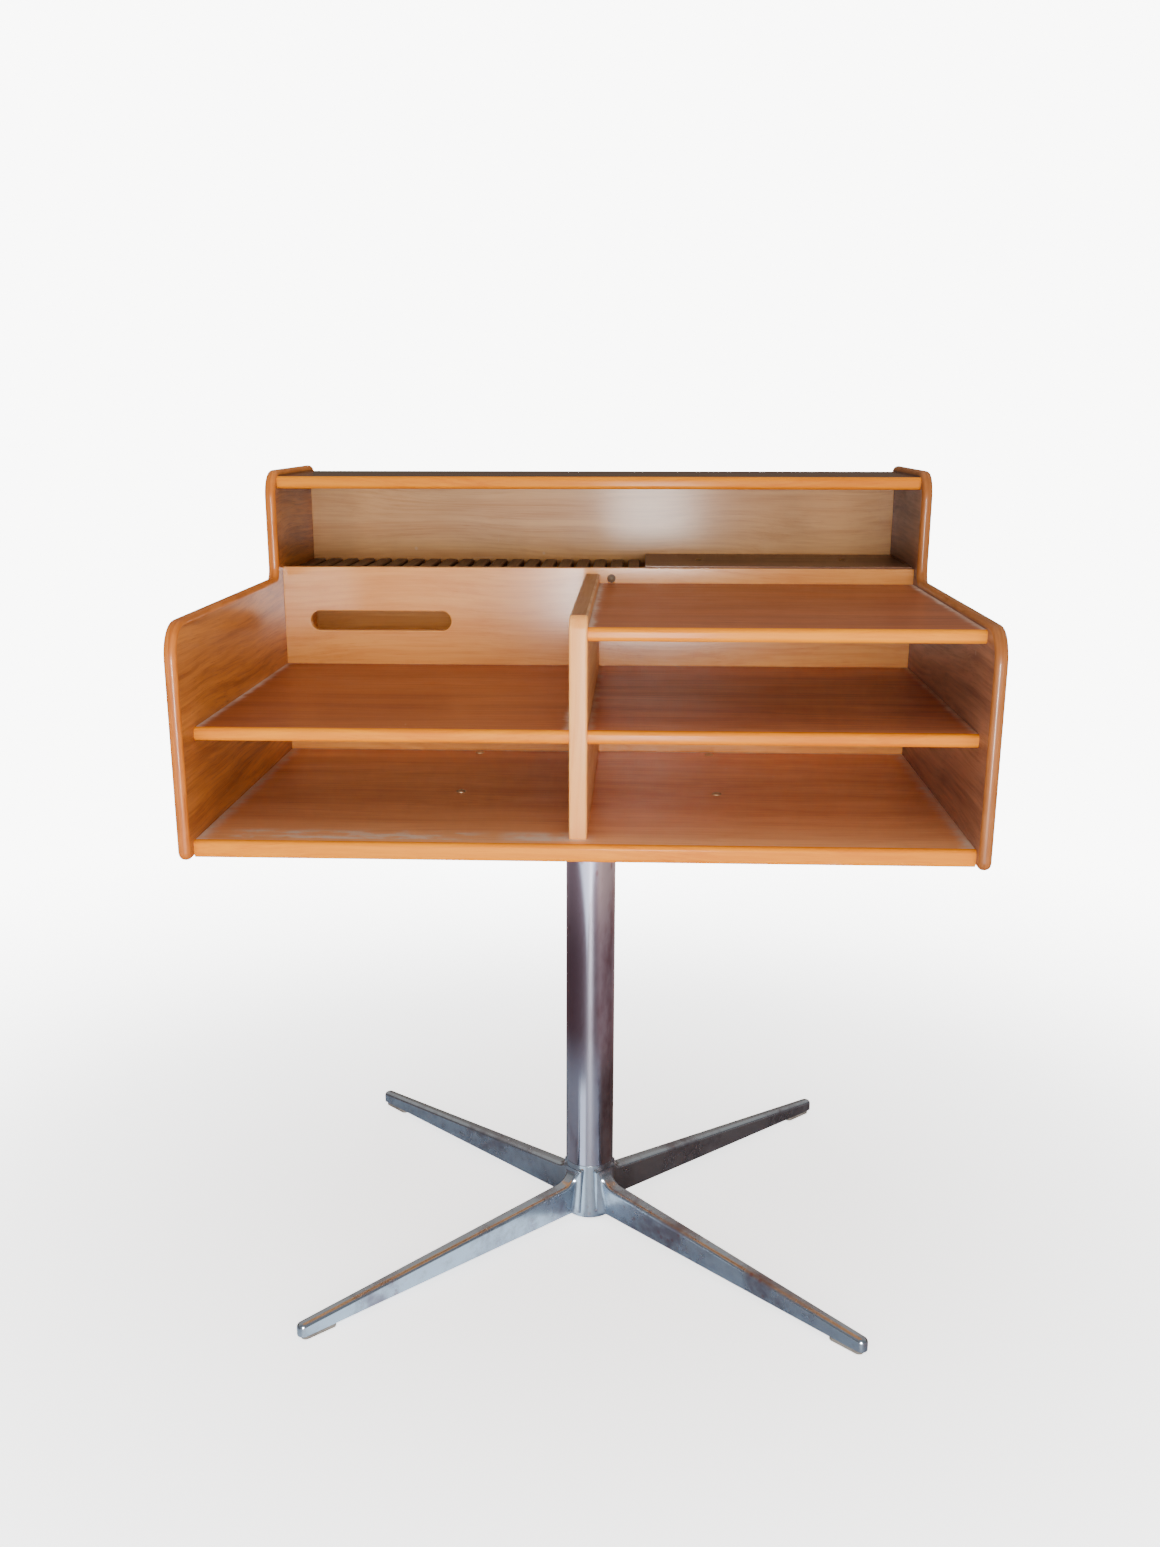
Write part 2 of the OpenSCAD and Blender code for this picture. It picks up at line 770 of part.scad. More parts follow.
module compartment_floor() {
    color("#6e4732") difference() {
        block([-in_x, floor_front_y, high_z], [in_x, back_face_y, high_top_z]);
        joint_holes(floor_sites, -in_x, dowel_in, dowel_out);
        joint_holes(floor_sites, in_x, dowel_out, dowel_in);
        for (x = screw_xs)
            translate([x, floor_mid_y, high_top_z - screw_bite - 1])
                cylinder(h = screw_bite + 2, r = screw_r + press_gap);
    }
}

// Ridges that run front to back, with a groove to the right of each
module rack_ridges() {
    soften = 2;
    color("#5d4032")
        for (i = [0 : ridge_count - 1])
            translate([-in_x + seat_gap + i * ridge_pitch, back_face_y - seat_gap, high_top_z])
                rotate([90, 0, 0]) linear_extrude(back_face_y - floor_front_y - 2 * seat_gap) polygon([
                    [0, 0],
                    [ridge_w, 0],
                    [ridge_w, ridge_h - soften],
                    [ridge_w - soften, ridge_h],
                    [soften, ridge_h],
                    [0, ridge_h - soften]
                ]);
}

module raised_board() {
    color("#5e3c2c") difference() {
        block(
            [raised_x0 + seat_gap, floor_front_y + seat_gap, raised_z],
            [in_x - seat_gap, back_face_y - seat_gap, raised_z + raised_t]
        );
        for (x = screw_xs)
            translate([x, floor_mid_y, raised_z - 1]) cylinder(h = raised_t + 2, r = screw_r + press_gap);
    }
}

module raised_board_battens() {
    color("#b98a5e") difference() {
        for (x = screw_xs)
            block(
                [x - batten_w / 2, floor_front_y + seat_gap, high_top_z],
                [x + batten_w / 2, back_face_y - seat_gap, raised_z]
            );
        for (x = screw_xs)
            translate([x, floor_mid_y, high_top_z - 1]) cylinder(h = batten_h + 2, r = screw_r + press_gap);
    }
}

module raised_board_screws() {
    head_r = 4.6;
    head_h = 2.2;
    dome_r = 7;
    shank_l = raised_t + batten_h + screw_bite;
    color("#c8b48c")
        for (x = screw_xs)
            translate([x, floor_mid_y, raised_z + raised_t]) {
                rotate_extrude() intersection() {
                    square([head_r, head_h]);
                    translate([0, head_h - dome_r]) circle(dome_r);
                }
                translate([0, 0, -shank_l]) cylinder(h = shank_l + 0.2, r = screw_r);
            }
}

module top_board() {
    color("#4a352e") difference() {
        block([-in_x, top_front_y + lipping_d, top_z], [in_x, board_back_y - lipping_d, top_z + top_t]);
        joint_holes(top_sites, -in_x, dowel_in, dowel_out);
        joint_holes(top_sites, in_x, dowel_out, dowel_in);
    }
}

module top_front_lipping() {
    color("#d9954a") lipping(-in_x, in_x, top_front_y, top_z, top_t, -1);
}

module top_rear_lipping() {
    color("#d9954a") lipping(-in_x, in_x, board_back_y, top_z, top_t, 1);
}

module dowels() {
    color("#d8bd8e") {
        joint_pegs(left_sites, -in_x, dowel_in, dowel_out);
        joint_pegs(right_sites, in_x, dowel_out, dowel_in);
        joint_pegs(high_sites, divider_x1, dowel_in, dowel_out);
        pegs(mid_sites, divider_x0, dowel_out, divider_t + dowel_out, dowel_r);
        for (y = divider_ys)
            translate([divider_x, y, bottom_top_z - dowel_in])
                cylinder(h = dowel_in + dowel_out, r = dowel_r);
    }
}

star_base();
glide_pads();
tie_bolt();
tie_washer();
column_plug();
column_tube();
bearing_housing();
upper_bush();
lower_bush();
thrust_washer();
spindle();
retaining_washer();
circlip();
spider();
spider_bolts();
spider_washers();
spider_nuts();
bottom_board();
bottom_front_lipping();
bottom_rear_lipping();
side_panel_left();
side_panel_right();
divider();
mid_shelf_left();
mid_shelf_left_lipping();
mid_shelf_right();
mid_shelf_right_lipping();
right_top_shelf();
right_top_shelf_lipping();
inner_panel();
panel_cap();
back_panel();
compartment_floor();
rack_ridges();
raised_board();
raised_board_battens();
raised_board_screws();
top_board();
top_front_lipping();
top_rear_lipping();
dowels();
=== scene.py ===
# %% [markdown]
# # A swivel shelf stand in teak and polished metal
# A stepped teak cabinet turns on a metal column with a four-legged star base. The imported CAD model
# is the fixed frame: it says where every board and tube is. This script dresses that frame. Boards
# get softened edges, solid lippings and veneer with grain, and the metal gets a worn polish.
# Inner pieces, such as the bearing, keep their CAD shape and only get a finish.

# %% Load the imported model
import bmesh
import bpy
import math
from mathutils import Matrix, Vector


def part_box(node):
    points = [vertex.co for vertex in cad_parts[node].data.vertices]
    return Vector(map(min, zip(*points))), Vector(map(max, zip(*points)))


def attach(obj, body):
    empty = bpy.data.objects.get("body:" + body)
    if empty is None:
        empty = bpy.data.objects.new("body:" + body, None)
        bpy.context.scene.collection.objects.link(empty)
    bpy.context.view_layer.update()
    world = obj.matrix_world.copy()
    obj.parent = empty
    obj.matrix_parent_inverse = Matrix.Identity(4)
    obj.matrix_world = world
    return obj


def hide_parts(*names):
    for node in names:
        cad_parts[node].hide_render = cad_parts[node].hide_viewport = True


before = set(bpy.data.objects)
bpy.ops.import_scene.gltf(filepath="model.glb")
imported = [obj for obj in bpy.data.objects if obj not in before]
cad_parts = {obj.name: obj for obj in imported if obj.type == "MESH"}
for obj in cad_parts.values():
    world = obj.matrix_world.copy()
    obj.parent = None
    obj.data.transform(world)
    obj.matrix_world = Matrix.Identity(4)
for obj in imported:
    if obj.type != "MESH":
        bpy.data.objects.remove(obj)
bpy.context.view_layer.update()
MM = 0.001  # one millimetre in Blender's metres

# %% [markdown]
# ## Camera
# Someone stands in front of the stand, a little to its right, and holds the camera at chest height,
# tipped down. A small lens shift places the stand in the frame without turning the camera, so the
# upright lines keep their directions.

# %% Camera in front of the open bays
CAMERA_PLACE = Vector((70, -2250, 1232)) * MM
CAMERA_TURN = math.radians(2.72)
CAMERA_TILT = math.radians(-17.03)
LENS = 35.86
SENSOR_WIDTH = 36
LENS_SHIFT = (0.0086, 0.0760)

camera = bpy.data.objects.new("camera", bpy.data.cameras.new("camera"))
camera.location = CAMERA_PLACE
camera.rotation_euler = (math.pi / 2 + CAMERA_TILT, 0, CAMERA_TURN)
camera.data.lens = LENS
camera.data.sensor_width = SENSOR_WIDTH
camera.data.shift_x, camera.data.shift_y = LENS_SHIFT
bpy.context.scene.collection.objects.link(camera)
bpy.context.scene.camera = camera
print("camera at", [round(x, 3) for x in camera.location])

# %% [markdown]
# ## Node helpers
# A material is a small program made of nodes. These helpers keep each recipe short: `put` adds one
# node and wires its inputs, `maths`, `times`, `blend` and `band` are the steps that every recipe uses,
# and `new_group` starts a node group with named sockets, so one effect can serve many materials.

# %% Helpers for nodes
def tone(red, green, blue):
    """A colour as a screen picker shows it, 0 to 255, turned into the linear values that shaders use."""
    def linear(c):
        c /= 255
        return c / 12.92 if c <= 0.04045 else ((c + 0.055) / 1.055) ** 2.4
    return (linear(red), linear(green), linear(blue), 1.0)


def wire(tree, node, inputs):
    """Links each input that is given as a socket, and sets each one that is given as a value."""
    for name, value in inputs.items():
        if isinstance(value, bpy.types.NodeSocket):
            tree.links.new(value, node.inputs[name])
        else:
            node.inputs[name].default_value = value


def put(tree, kind, inputs=None, **settings):
    node = tree.nodes.new(kind)
    for name, value in settings.items():
        setattr(node, name, value)
    wire(tree, node, inputs or {})
    return node


def new_material(name):
    """A material with nodes: its tree, its shader and the object coordinates that its pattern uses."""
    material = bpy.data.materials.new(name)
    material.use_nodes = True
    tree = material.node_tree
    return material, tree, tree.nodes["Principled BSDF"], put(tree, "ShaderNodeTexCoord").outputs["Object"]


def maths(tree, operation, a, b=0.0, clamp=False):
    return put(tree, "ShaderNodeMath", {0: a, 1: b}, operation=operation, use_clamp=clamp).outputs[0]


def times(tree, *masks):
    """Masks multiplied with each other, or with a number that says how strongly they count."""
    product = masks[0]
    for mask in masks[1:]:
        product = maths(tree, "MULTIPLY", product, mask)
    return product


def parts(tree, vector):
    """The x, y and z of a vector."""
    return put(tree, "ShaderNodeSeparateXYZ", {0: vector}).outputs


def blend(tree, factor, a, b, how="MIX"):
    return put(tree, "ShaderNodeMix", {0: factor, 6: a, 7: b}, data_type="RGBA", blend_type=how).outputs[2]


def band(tree, value, start, end, low=0.0, high=1.0):
    """Eases from low to high while the value goes from start to end."""
    sockets = {"Value": value, "From Min": start, "From Max": end, "To Min": low, "To Max": high}
    return put(tree, "ShaderNodeMapRange", sockets, interpolation_type="SMOOTHSTEP").outputs[0]


def noise(tree, vector, scale, detail=3.0, roughness=0.5, distortion=0.0):
    sockets = {"Vector": vector, "Scale": scale, "Detail": detail,
               "Roughness": roughness, "Distortion": distortion}
    return put(tree, "ShaderNodeTexNoise", sockets).outputs[0]


def stretch(tree, vector, scale, shift=(0, 0, 0)):
    return put(tree, "ShaderNodeMapping", {"Vector": vector, "Scale": scale, "Location": shift}).outputs[0]


def new_group(name, inputs, outputs):
    tree = bpy.data.node_groups.new(name, "ShaderNodeTree")
    for label, kind, value in inputs:
        socket = tree.interface.new_socket(label, in_out="INPUT", socket_type="NodeSocket" + kind)
        if value is not None:
            socket.default_value = value
    for label, kind in outputs:
        tree.interface.new_socket(label, in_out="OUTPUT", socket_type="NodeSocket" + kind)
    return tree, put(tree, "NodeGroupInput").outputs, put(tree, "NodeGroupOutput").inputs


def place_group(tree, group, inputs):
    node = put(tree, "ShaderNodeGroup", node_tree=group)
    wire(tree, node, inputs)
    return node.outputs


# %% [markdown]
# ## Wood grain as a node group
# Teak veneer shows three sizes of pattern: slow bands as wide as a thumb, streaks a few millimetres
# wide, and short dark pores. All three are noise pulled long in one direction. The material stretches
# the object coordinates first, so that the first axis runs along the grain, and the group adds the
# bands, the streaks and the pores to a pale and a deep colour.

# %% Wood grain group
def make_wood_group():
    tree, given, out = new_group(
        "Wood grain",
        [("Vector", "Vector", None), ("Pale", "Color", tone(220, 160, 100)),
         ("Deep", "Color", tone(150, 90, 50)), ("Figure", "Float", 0.5), ("Pores", "Float", 0.4)],
        [("Color", "Color"), ("Grain", "Float")])
    bend = noise(tree, stretch(tree, given["Vector"], (1.6, 0.12, 0.12)), 1.0, 2.0)
    bend = maths(tree, "MULTIPLY", maths(tree, "SUBTRACT", bend, 0.5), 3.2)
    shift = put(tree, "ShaderNodeCombineXYZ", {1: bend, 2: bend}).outputs[0]
    wavy = put(tree, "ShaderNodeVectorMath", {0: given["Vector"], 1: shift}, operation="ADD").outputs[0]
    bands = noise(tree, wavy, 0.8, 3.0, 0.55, 0.25)
    streaks = noise(tree, wavy, 6.0, 5.0, 0.62)
    pores = noise(tree, stretch(tree, wavy, (0.6, 1.0, 1.0)), 26.0, 2.0, 0.6)
    depth = maths(tree, "MULTIPLY", band(tree, bands, 0.34, 0.68), given["Figure"])
    depth = maths(tree, "ADD", depth, maths(tree, "MULTIPLY", band(tree, streaks, 0.36, 0.68), 0.42))
    dashes = maths(tree, "MULTIPLY", band(tree, pores, 0.56, 0.74), given["Pores"])
    depth = maths(tree, "ADD", depth, dashes, clamp=True)
    tree.links.new(blend(tree, depth, given["Pale"], given["Deep"]), out["Color"])
    tree.links.new(maths(tree, "SUBTRACT", 1.0, depth), out["Grain"])
    return tree


wood_group = make_wood_group()
print("group", wood_group.name)

# %% [markdown]
# ## Dust, scuffs and pale rims
# Nobody wipes into the corner where a shelf meets a side, so a pale line of dust stays there. The
# group measures how far a point is from the two walls along X and from the wall behind, and breaks
# the line up with noise. Behind that wall, where nobody wipes at all, the whole board is dusty.
# Scuffs are short scratches and dull spots. A rim is a strip that a bevel made: each mesh marks those
# faces with an attribute, and the rim is painted paler, partly as wear and partly as a painted
# highlight along the arris.

# %% Dust and scuff groups
def make_dust_group():
    tree, given, out = new_group(
        "Corner dust",
        [("Vector", "Vector", None), ("Left", "Float", -1.0), ("Right", "Float", 1.0),
         ("Back", "Float", 1.0), ("Width", "Float", 0.012)],
        [("Mask", "Float")])
    place = parts(tree, given["Vector"])
    gap = maths(tree, "MINIMUM", maths(tree, "SUBTRACT", place[0], given["Left"]),
                maths(tree, "SUBTRACT", given["Right"], place[0]))
    rear = maths(tree, "MULTIPLY", maths(tree, "SUBTRACT", given["Back"], place[1]), 2.2)
    ragged = maths(tree, "MULTIPLY", noise(tree, given["Vector"], 55.0, 4.0), given["Width"])
    gap = maths(tree, "ADD", maths(tree, "MINIMUM", gap, rear), ragged)
    line = band(tree, maths(tree, "DIVIDE", gap, given["Width"]), 1.35, 0.55)
    uneven = noise(tree, stretch(tree, given["Vector"], (9, 9, 9)), 1.0, 5.0)
    broken = band(tree, uneven, 0.3, 0.62, 0.55, 1.0)
    tree.links.new(maths(tree, "MULTIPLY", line, broken, clamp=True), out["Mask"])
    return tree


def make_scuff_group():
    tree, given, out = new_group(
        "Scuffs",
        [("Vector", "Vector", None), ("Amount", "Float", 0.5)],
        [("Mask", "Float"), ("Haze", "Float")])
    along = noise(tree, stretch(tree, given["Vector"], (14, 160, 160)), 1.0, 3.0)
    across = noise(tree, stretch(tree, given["Vector"], (150, 22, 22), (3, 1, 2)), 1.0, 3.0)
    patch = band(tree, noise(tree, given["Vector"], 6.0, 3.0), 0.5, 0.72)
    scratches = maths(tree, "MAXIMUM", band(tree, along, 0.7, 0.78), band(tree, across, 0.71, 0.78))
    scratches = maths(tree, "MULTIPLY", scratches, patch)
    spots = put(tree, "ShaderNodeTexVoronoi", {"Vector": given["Vector"], "Scale": 9.0}).outputs["Distance"]
    spots = band(tree, spots, 0.035, 0.015)
    found = maths(tree, "MULTIPLY", maths(tree, "MAXIMUM", scratches, spots), given["Amount"], clamp=True)
    tree.links.new(found, out["Mask"])
    haze = maths(tree, "MULTIPLY", band(tree, noise(tree, given["Vector"], 3.4, 4.0, 0.6), 0.36, 0.7),
                 given["Amount"], clamp=True)
    tree.links.new(haze, out["Haze"])
    return tree


dust_group = make_dust_group()
scuff_group = make_scuff_group()
print("groups", dust_group.name, "and", scuff_group.name)

# %% [markdown]
# ## Wood finishes
# One recipe makes every wood in the cabinet, and its arguments say what differs: the two colours,
# the direction of the grain, how glossy the lacquer is, and where dust gathers. Roughness and bump
# follow the grain, because open pores are a little duller than the lacquer between them. The lacquer
# itself is the shader's coat, which stays smooth over the grain as the real one does. Dust and rubbed
# patches lie on faces that look up, and never on the underside of a board.

# %% One recipe for wood
GRAIN = {
    "x": ((1.0, 34, 34), (0, 0, 0)),
    "y": ((34, 1.0, 34), (0, 0, math.pi / 2)),
    "z": ((34, 34, 1.0), (0, math.pi / 2, 0)),
    "edge": ((60, 1.2, 1.2), (0, 0, math.pi / 2)),
}
DUST_COLOUR = tone(222, 205, 184)
RIM_PALER = 34
LACQUER_ROUGHNESS = 0.14
# Tint for the painted shade at the right side's upper rear; it also tints the back's stain blotches
SHADE_AND_STAIN_TINT = (0.70, 0.72, 0.76, 1)
# A lighter tint for the painted shade at the left side's upper rear
LIGHT_SHADE_TINT = (0.92, 0.94, 1.0, 1)
# A strong tint for the painted shade on the divider's top
TOP_SHADE_TINT = (0.42, 0.36, 0.34, 1)


def grain_space(tree, where, along, seed):
    """Object coordinates stretched across the grain, and turned so that the first axis runs along it."""
    scale, turn = GRAIN[along]
    long = stretch(tree, where, scale, (seed, seed * 1.7, seed * 0.6))
    sockets = {"Vector": long, "Rotation": turn}
    return put(tree, "ShaderNodeVectorRotate", sockets, rotation_type="EULER_XYZ").outputs[0]


def wood(name, pale, deep, along, seed, roughness=0.45, coat=0.10, figure=0.5, pores=0.35, wear_and_sheen=0.3,
         scuffs=0.3, dust=None, shade=None, shade_colour=SHADE_AND_STAIN_TINT, rubbed=None, bump=0.25, shine=0.12):
    material, tree, shader, where = new_material(name)
    grain = place_group(tree, wood_group, {
        "Vector": grain_space(tree, where, along, seed), "Pale": tone(*pale), "Deep": tone(*deep),
        "Figure": figure, "Pores": pores})
    marks = place_group(tree, scuff_group, {"Vector": where, "Amount": scuffs})
    colour = grain["Color"]
    # A darkening by position: painted shade at the sides' upper rear and on the divider's top, and stain
    # blotches on the back
    if shade:
        colour = blend(tree, shade(tree, where), colour, shade_colour, "MULTIPLY")
    # Rims are painted paler: partly wear, partly a painted highlight along the arris
    rim = put(tree, "ShaderNodeAttribute", attribute_name="rim").outputs["Fac"]
    uneven = band(tree, noise(tree, where, 28.0, 4.0), 0.35, 0.65, 0.25 * wear_and_sheen, wear_and_sheen)
    colour = blend(tree, times(tree, rim, uneven), colour, tone(*[min(255, c + RIM_PALER) for c in pale]))
    colour = blend(tree, times(tree, marks["Mask"], 0.5), colour, DUST_COLOUR)
    normal = parts(tree, put(tree, "ShaderNodeNewGeometry").outputs["Normal"])
    upward = band(tree, normal[2], 0.5, 0.9)
    if rubbed:
        colour = blend(tree, times(tree, rubbed(tree, where), upward), colour, DUST_COLOUR)
    rough = maths(tree, "ADD", roughness, times(tree, marks["Haze"], 0.16))
    rough = maths(tree, "SUBTRACT", rough, times(tree, grain["Grain"], 0.05))
    shader.inputs["Coat Weight"].default_value = coat
    if dust:
        left, right, back, width, strength = dust
        film = times(tree, upward, place_group(tree, dust_group, {
            "Vector": where, "Left": left, "Right": right, "Back": back, "Width": width})["Mask"])
        colour = blend(tree, times(tree, film, strength), colour, DUST_COLOUR)
        rough = maths(tree, "ADD", rough, times(tree, film, 0.4), clamp=True)
        coated = maths(tree, "SUBTRACT", coat, times(tree, film, coat), clamp=True)
        tree.links.new(coated, shader.inputs["Coat Weight"])
    relief = put(tree, "ShaderNodeBump", {"Height": grain["Grain"], "Distance": 0.4 * MM, "Strength": bump})
    tree.links.new(colour, shader.inputs["Base Color"])
    tree.links.new(rough, shader.inputs["Roughness"])
    tree.links.new(relief.outputs[0], shader.inputs["Normal"])
    shader.inputs["Coat Roughness"].default_value = LACQUER_ROUGHNESS
    shader.inputs["Specular IOR Level"].default_value = shine
    print("wood", name)
    return material


# %% [markdown]
# ## The woods of the cabinet
# The sides are figured veneer with a solid edge, the shelves are a darker stained veneer, and each
# shelf has a pale solid lipping. The inner panel and the back are lighter, and the floor behind them,
# with its ridges, is dark. The upper rear of the sides is painted darker, a painted shade under the top
# board, and the right side and its edge are darker copies of the left, a painted shade over that side.
# The divider's top is painted darker, a painted shade. The bottom board and the lower right shelf take
# lighter copies of the shelf veneer, a painted light in the covered bays.

# %% Make the woods
IN_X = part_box("side_panel_right")[0].x
DIVIDER_LOW, DIVIDER_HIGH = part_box("divider")
INNER_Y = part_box("inner_panel")[0].y
FRONT_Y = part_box("bottom_board")[0].y


def shaded_rear(tree, where):
    """Painted shade: darker towards the upper rear, where the top board keeps the light off."""
    place = parts(tree, where)
    behind = band(tree, place[1], INNER_Y - 73 * MM, INNER_Y + 37 * MM)
    above = band(tree, place[2], 900 * MM, 1020 * MM)
    mottled = band(tree, noise(tree, where, 5.0, 3.0), 0.25, 0.75, 0.65, 1.0)
    return times(tree, behind, above, mottled)


def shaded_top(tree, where):
    """Painted shade: the divider's top is darker than its faces."""
    return band(tree, parts(tree, where)[2], DIVIDER_HIGH.z - 3.5 * MM, DIVIDER_HIGH.z - 0.8 * MM)


def blotches(tree, where):
    """Slow uneven patches, as on a veneer that has had damp behind it."""
    return band(tree, noise(tree, where, 4.2, 4.0, 0.55, 0.4), 0.46, 0.74, 0.0, 0.45)


def rubbed_front(tree, where):
    """By the front edge: a row of short scuffs on the left, and a pale patch before the divider's foot."""
    place = parts(tree, where)
    depth = times(tree, band(tree, place[1], FRONT_Y + 62 * MM, FRONT_Y + 40 * MM),
                 band(tree, place[1], FRONT_Y + 8 * MM, FRONT_Y + 14 * MM))
    ragged = noise(tree, stretch(tree, where, (26, 60, 1)), 1.0, 5.0, 0.65)
    row = times(tree, band(tree, place[0], -460 * MM, -420 * MM), band(tree, place[0], -100 * MM, -170 * MM),
               depth, band(tree, ragged, 0.44, 0.62, 0.05, 0.75))
    beside = maths(tree, "ABSOLUTE", maths(tree, "SUBTRACT", place[0], DIVIDER_LOW.x - 30 * MM))
    foot = times(tree, band(tree, beside, 70 * MM, 30 * MM), depth,
                band(tree, noise(tree, where, 40.0, 4.0), 0.3, 0.6, 0.2, 0.75))
    return maths(tree, "MAXIMUM", row, foot)


# Dust: the walls to the left, to the right and behind, the line's width and its strength
WIDE_DUST = (-IN_X, IN_X, INNER_Y, 24 * MM, 0.85)
LEFT_DUST = (-IN_X, DIVIDER_LOW.x, INNER_Y, 14 * MM, 0.6)
RIGHT_DUST = (DIVIDER_HIGH.x, IN_X, INNER_Y, 14 * MM, 0.6)
WOODS = {
    "side_veneer": wood("side_veneer_finish", (200, 122, 54), (138, 74, 30), "y", 3.1, figure=0.55,
                        shade=shaded_rear, shade_colour=LIGHT_SHADE_TINT),
    # The right side and its edge are darker copies of the left side's woods: a painted shade over that whole
    # side
    "right_side_veneer": wood("right_side_shaded_finish", (158, 106, 78), (106, 66, 48), "y", 3.9, figure=0.55,
                              shade=shaded_rear),
    "side_edge": wood("side_edge_finish", (216, 122, 40), (160, 80, 20), "edge", 5.3, wear_and_sheen=0.2),
    "right_side_edge": wood("right_side_shaded_edge_finish", (164, 96, 44), (118, 66, 28), "edge", 5.9, wear_and_sheen=0.2),
    "shelf_veneer": wood("shelf_veneer_finish", (166, 80, 36), (122, 52, 22), "x", 1.7, figure=0.35),
    # A lighter copy of the shelf veneer, a painted light for the covered bottom bay; its dust, scuffs and
    # rubbed patches are real
    "bottom_veneer": wood("bottom_veneer_lightened_finish", (238, 170, 112), (208, 138, 90), "x", 8.2, figure=0.35,
                          roughness=0.4, scuffs=0.5, dust=WIDE_DUST, rubbed=rubbed_front),
    "left_veneer": wood("left_shelf_finish", (162, 86, 44), (124, 60, 32), "x", 4.4, figure=0.35,
                        scuffs=0.45, dust=LEFT_DUST),
    # A lighter copy of the shelf veneer, a painted light for the shelf under the right top shelf; its dust
    # and scuffs are real
    "right_veneer": wood("mid_right_shelf_lightened_finish", (206, 128, 82), (164, 92, 60), "x", 6.6, figure=0.35,
                         scuffs=0.45, dust=RIGHT_DUST),
    "right_top_veneer": wood("right_top_finish", (166, 90, 50), (126, 64, 36), "x", 7.1, figure=0.35,
                             scuffs=0.45, dust=RIGHT_DUST),
    "solid_lipping": wood("solid_lipping_finish", (236, 144, 12), (208, 106, 6), "x", 2.9, roughness=0.5,
                          coat=0.03, figure=0.4, pores=0.3, wear_and_sheen=0.0, shine=0.05),
    "divider_wood": wood("divider_finish", (226, 168, 112), (190, 128, 82), "y", 7.5,
                         shade=shaded_top, shade_colour=TOP_SHADE_TINT),
    "divider_front": wood("divider_front_finish", (248, 172, 96), (230, 142, 70), "z", 9.1, figure=0.3,
                          pores=0.2, coat=0.04, shine=0.05),
    "inner_veneer": wood("inner_veneer_finish", (240, 162, 80), (212, 124, 50), "x", 11.3, figure=0.3,
                         coat=1.0, shine=0.03),
    "back_veneer": wood("back_veneer_finish", (216, 158, 98), (184, 122, 70), "x", 12.8, figure=0.45,
                        coat=0.08, shade=blotches),
    "rack_wood": wood("rack_wood_finish", (106, 72, 52), (60, 38, 28), "y", 14.2, wear_and_sheen=0.35),
    "raised_wood": wood("raised_board_finish", (140, 96, 68), (98, 66, 50), "x", 15.9, coat=0.12),
    "beech": wood("beech_finish", (216, 184, 138), (184, 146, 100), "x", 17.0, coat=0.0, roughness=0.6),
    "top_lacquer": wood("top_lacquer_finish", (74, 48, 34), (42, 28, 22), "x", 18.6, roughness=0.24,
                        coat=0.3, figure=0.4, pores=0.2, bump=0.08),
}

# %% [markdown]
# ## Metal
# The column and the cast base were polished once. Years of cleaning left blue-grey metal with dull
# purple-brown patches and small reddish spots. One group gives the patina: large soft patches, finer
# mottling and spots. The shader is metallic everywhere, and the patches are rougher and darker.

# %% Patina group and metal recipe
def make_patina_group():
    tree, given, out = new_group(
        "Metal patina",
        [("Vector", "Vector", None), ("Bright", "Color", tone(190, 200, 210)),
         ("Dull", "Color", tone(110, 84, 92)), ("Rust", "Color", tone(132, 70, 60)),
         ("Patches", "Float", 0.5), ("Spots", "Float", 0.4)],
        [("Color", "Color"), ("Dullness", "Float"), ("Relief", "Float")])
    cloud = noise(tree, given["Vector"], 5.0, 5.0, 0.58, 0.5)
    fine = noise(tree, given["Vector"], 60.0, 4.0, 0.6)
    edge = maths(tree, "ADD", cloud, maths(tree, "MULTIPLY", maths(tree, "SUBTRACT", fine, 0.5), 0.22))
    patches = maths(tree, "MULTIPLY", band(tree, edge, 0.44, 0.66), given["Patches"], clamp=True)
    dots = put(tree, "ShaderNodeTexVoronoi", {"Vector": given["Vector"], "Scale": 70.0}).outputs["Distance"]
    sparse = band(tree, noise(tree, given["Vector"], 9.0, 2.0), 0.5, 0.66)
    spots = times(tree, band(tree, dots, 0.3, 0.12), sparse, given["Spots"])
    colour = blend(tree, patches, given["Bright"], given["Dull"])
    tree.links.new(blend(tree, spots, colour, given["Rust"]), out["Color"])
    tree.links.new(maths(tree, "MAXIMUM", patches, spots), out["Dullness"])
    tree.links.new(maths(tree, "ADD", fine, spots), out["Relief"])
    return tree


patina_group = make_patina_group()


def metal(name, bright, dull, roughness, patches=0.5, spots=0.3, stretched=(1, 1, 1), haze=0.22):
    material, tree, shader, where = new_material(name)
    patina = place_group(tree, patina_group, {
        "Vector": stretch(tree, where, stretched), "Bright": tone(*bright), "Dull": tone(*dull),
        "Rust": tone(132, 70, 60), "Patches": patches, "Spots": spots})
    rough = maths(tree, "ADD", roughness, times(tree, patina["Dullness"], haze))
    bumps = {"Height": patina["Relief"], "Distance": 0.2 * MM, "Strength": 0.12}
    relief = put(tree, "ShaderNodeBump", bumps)
    tree.links.new(patina["Color"], shader.inputs["Base Color"])
    tree.links.new(rough, shader.inputs["Roughness"])
    tree.links.new(relief.outputs[0], shader.inputs["Normal"])
    shader.inputs["Metallic"].default_value = 1.0
    print("metal", name)
    return material


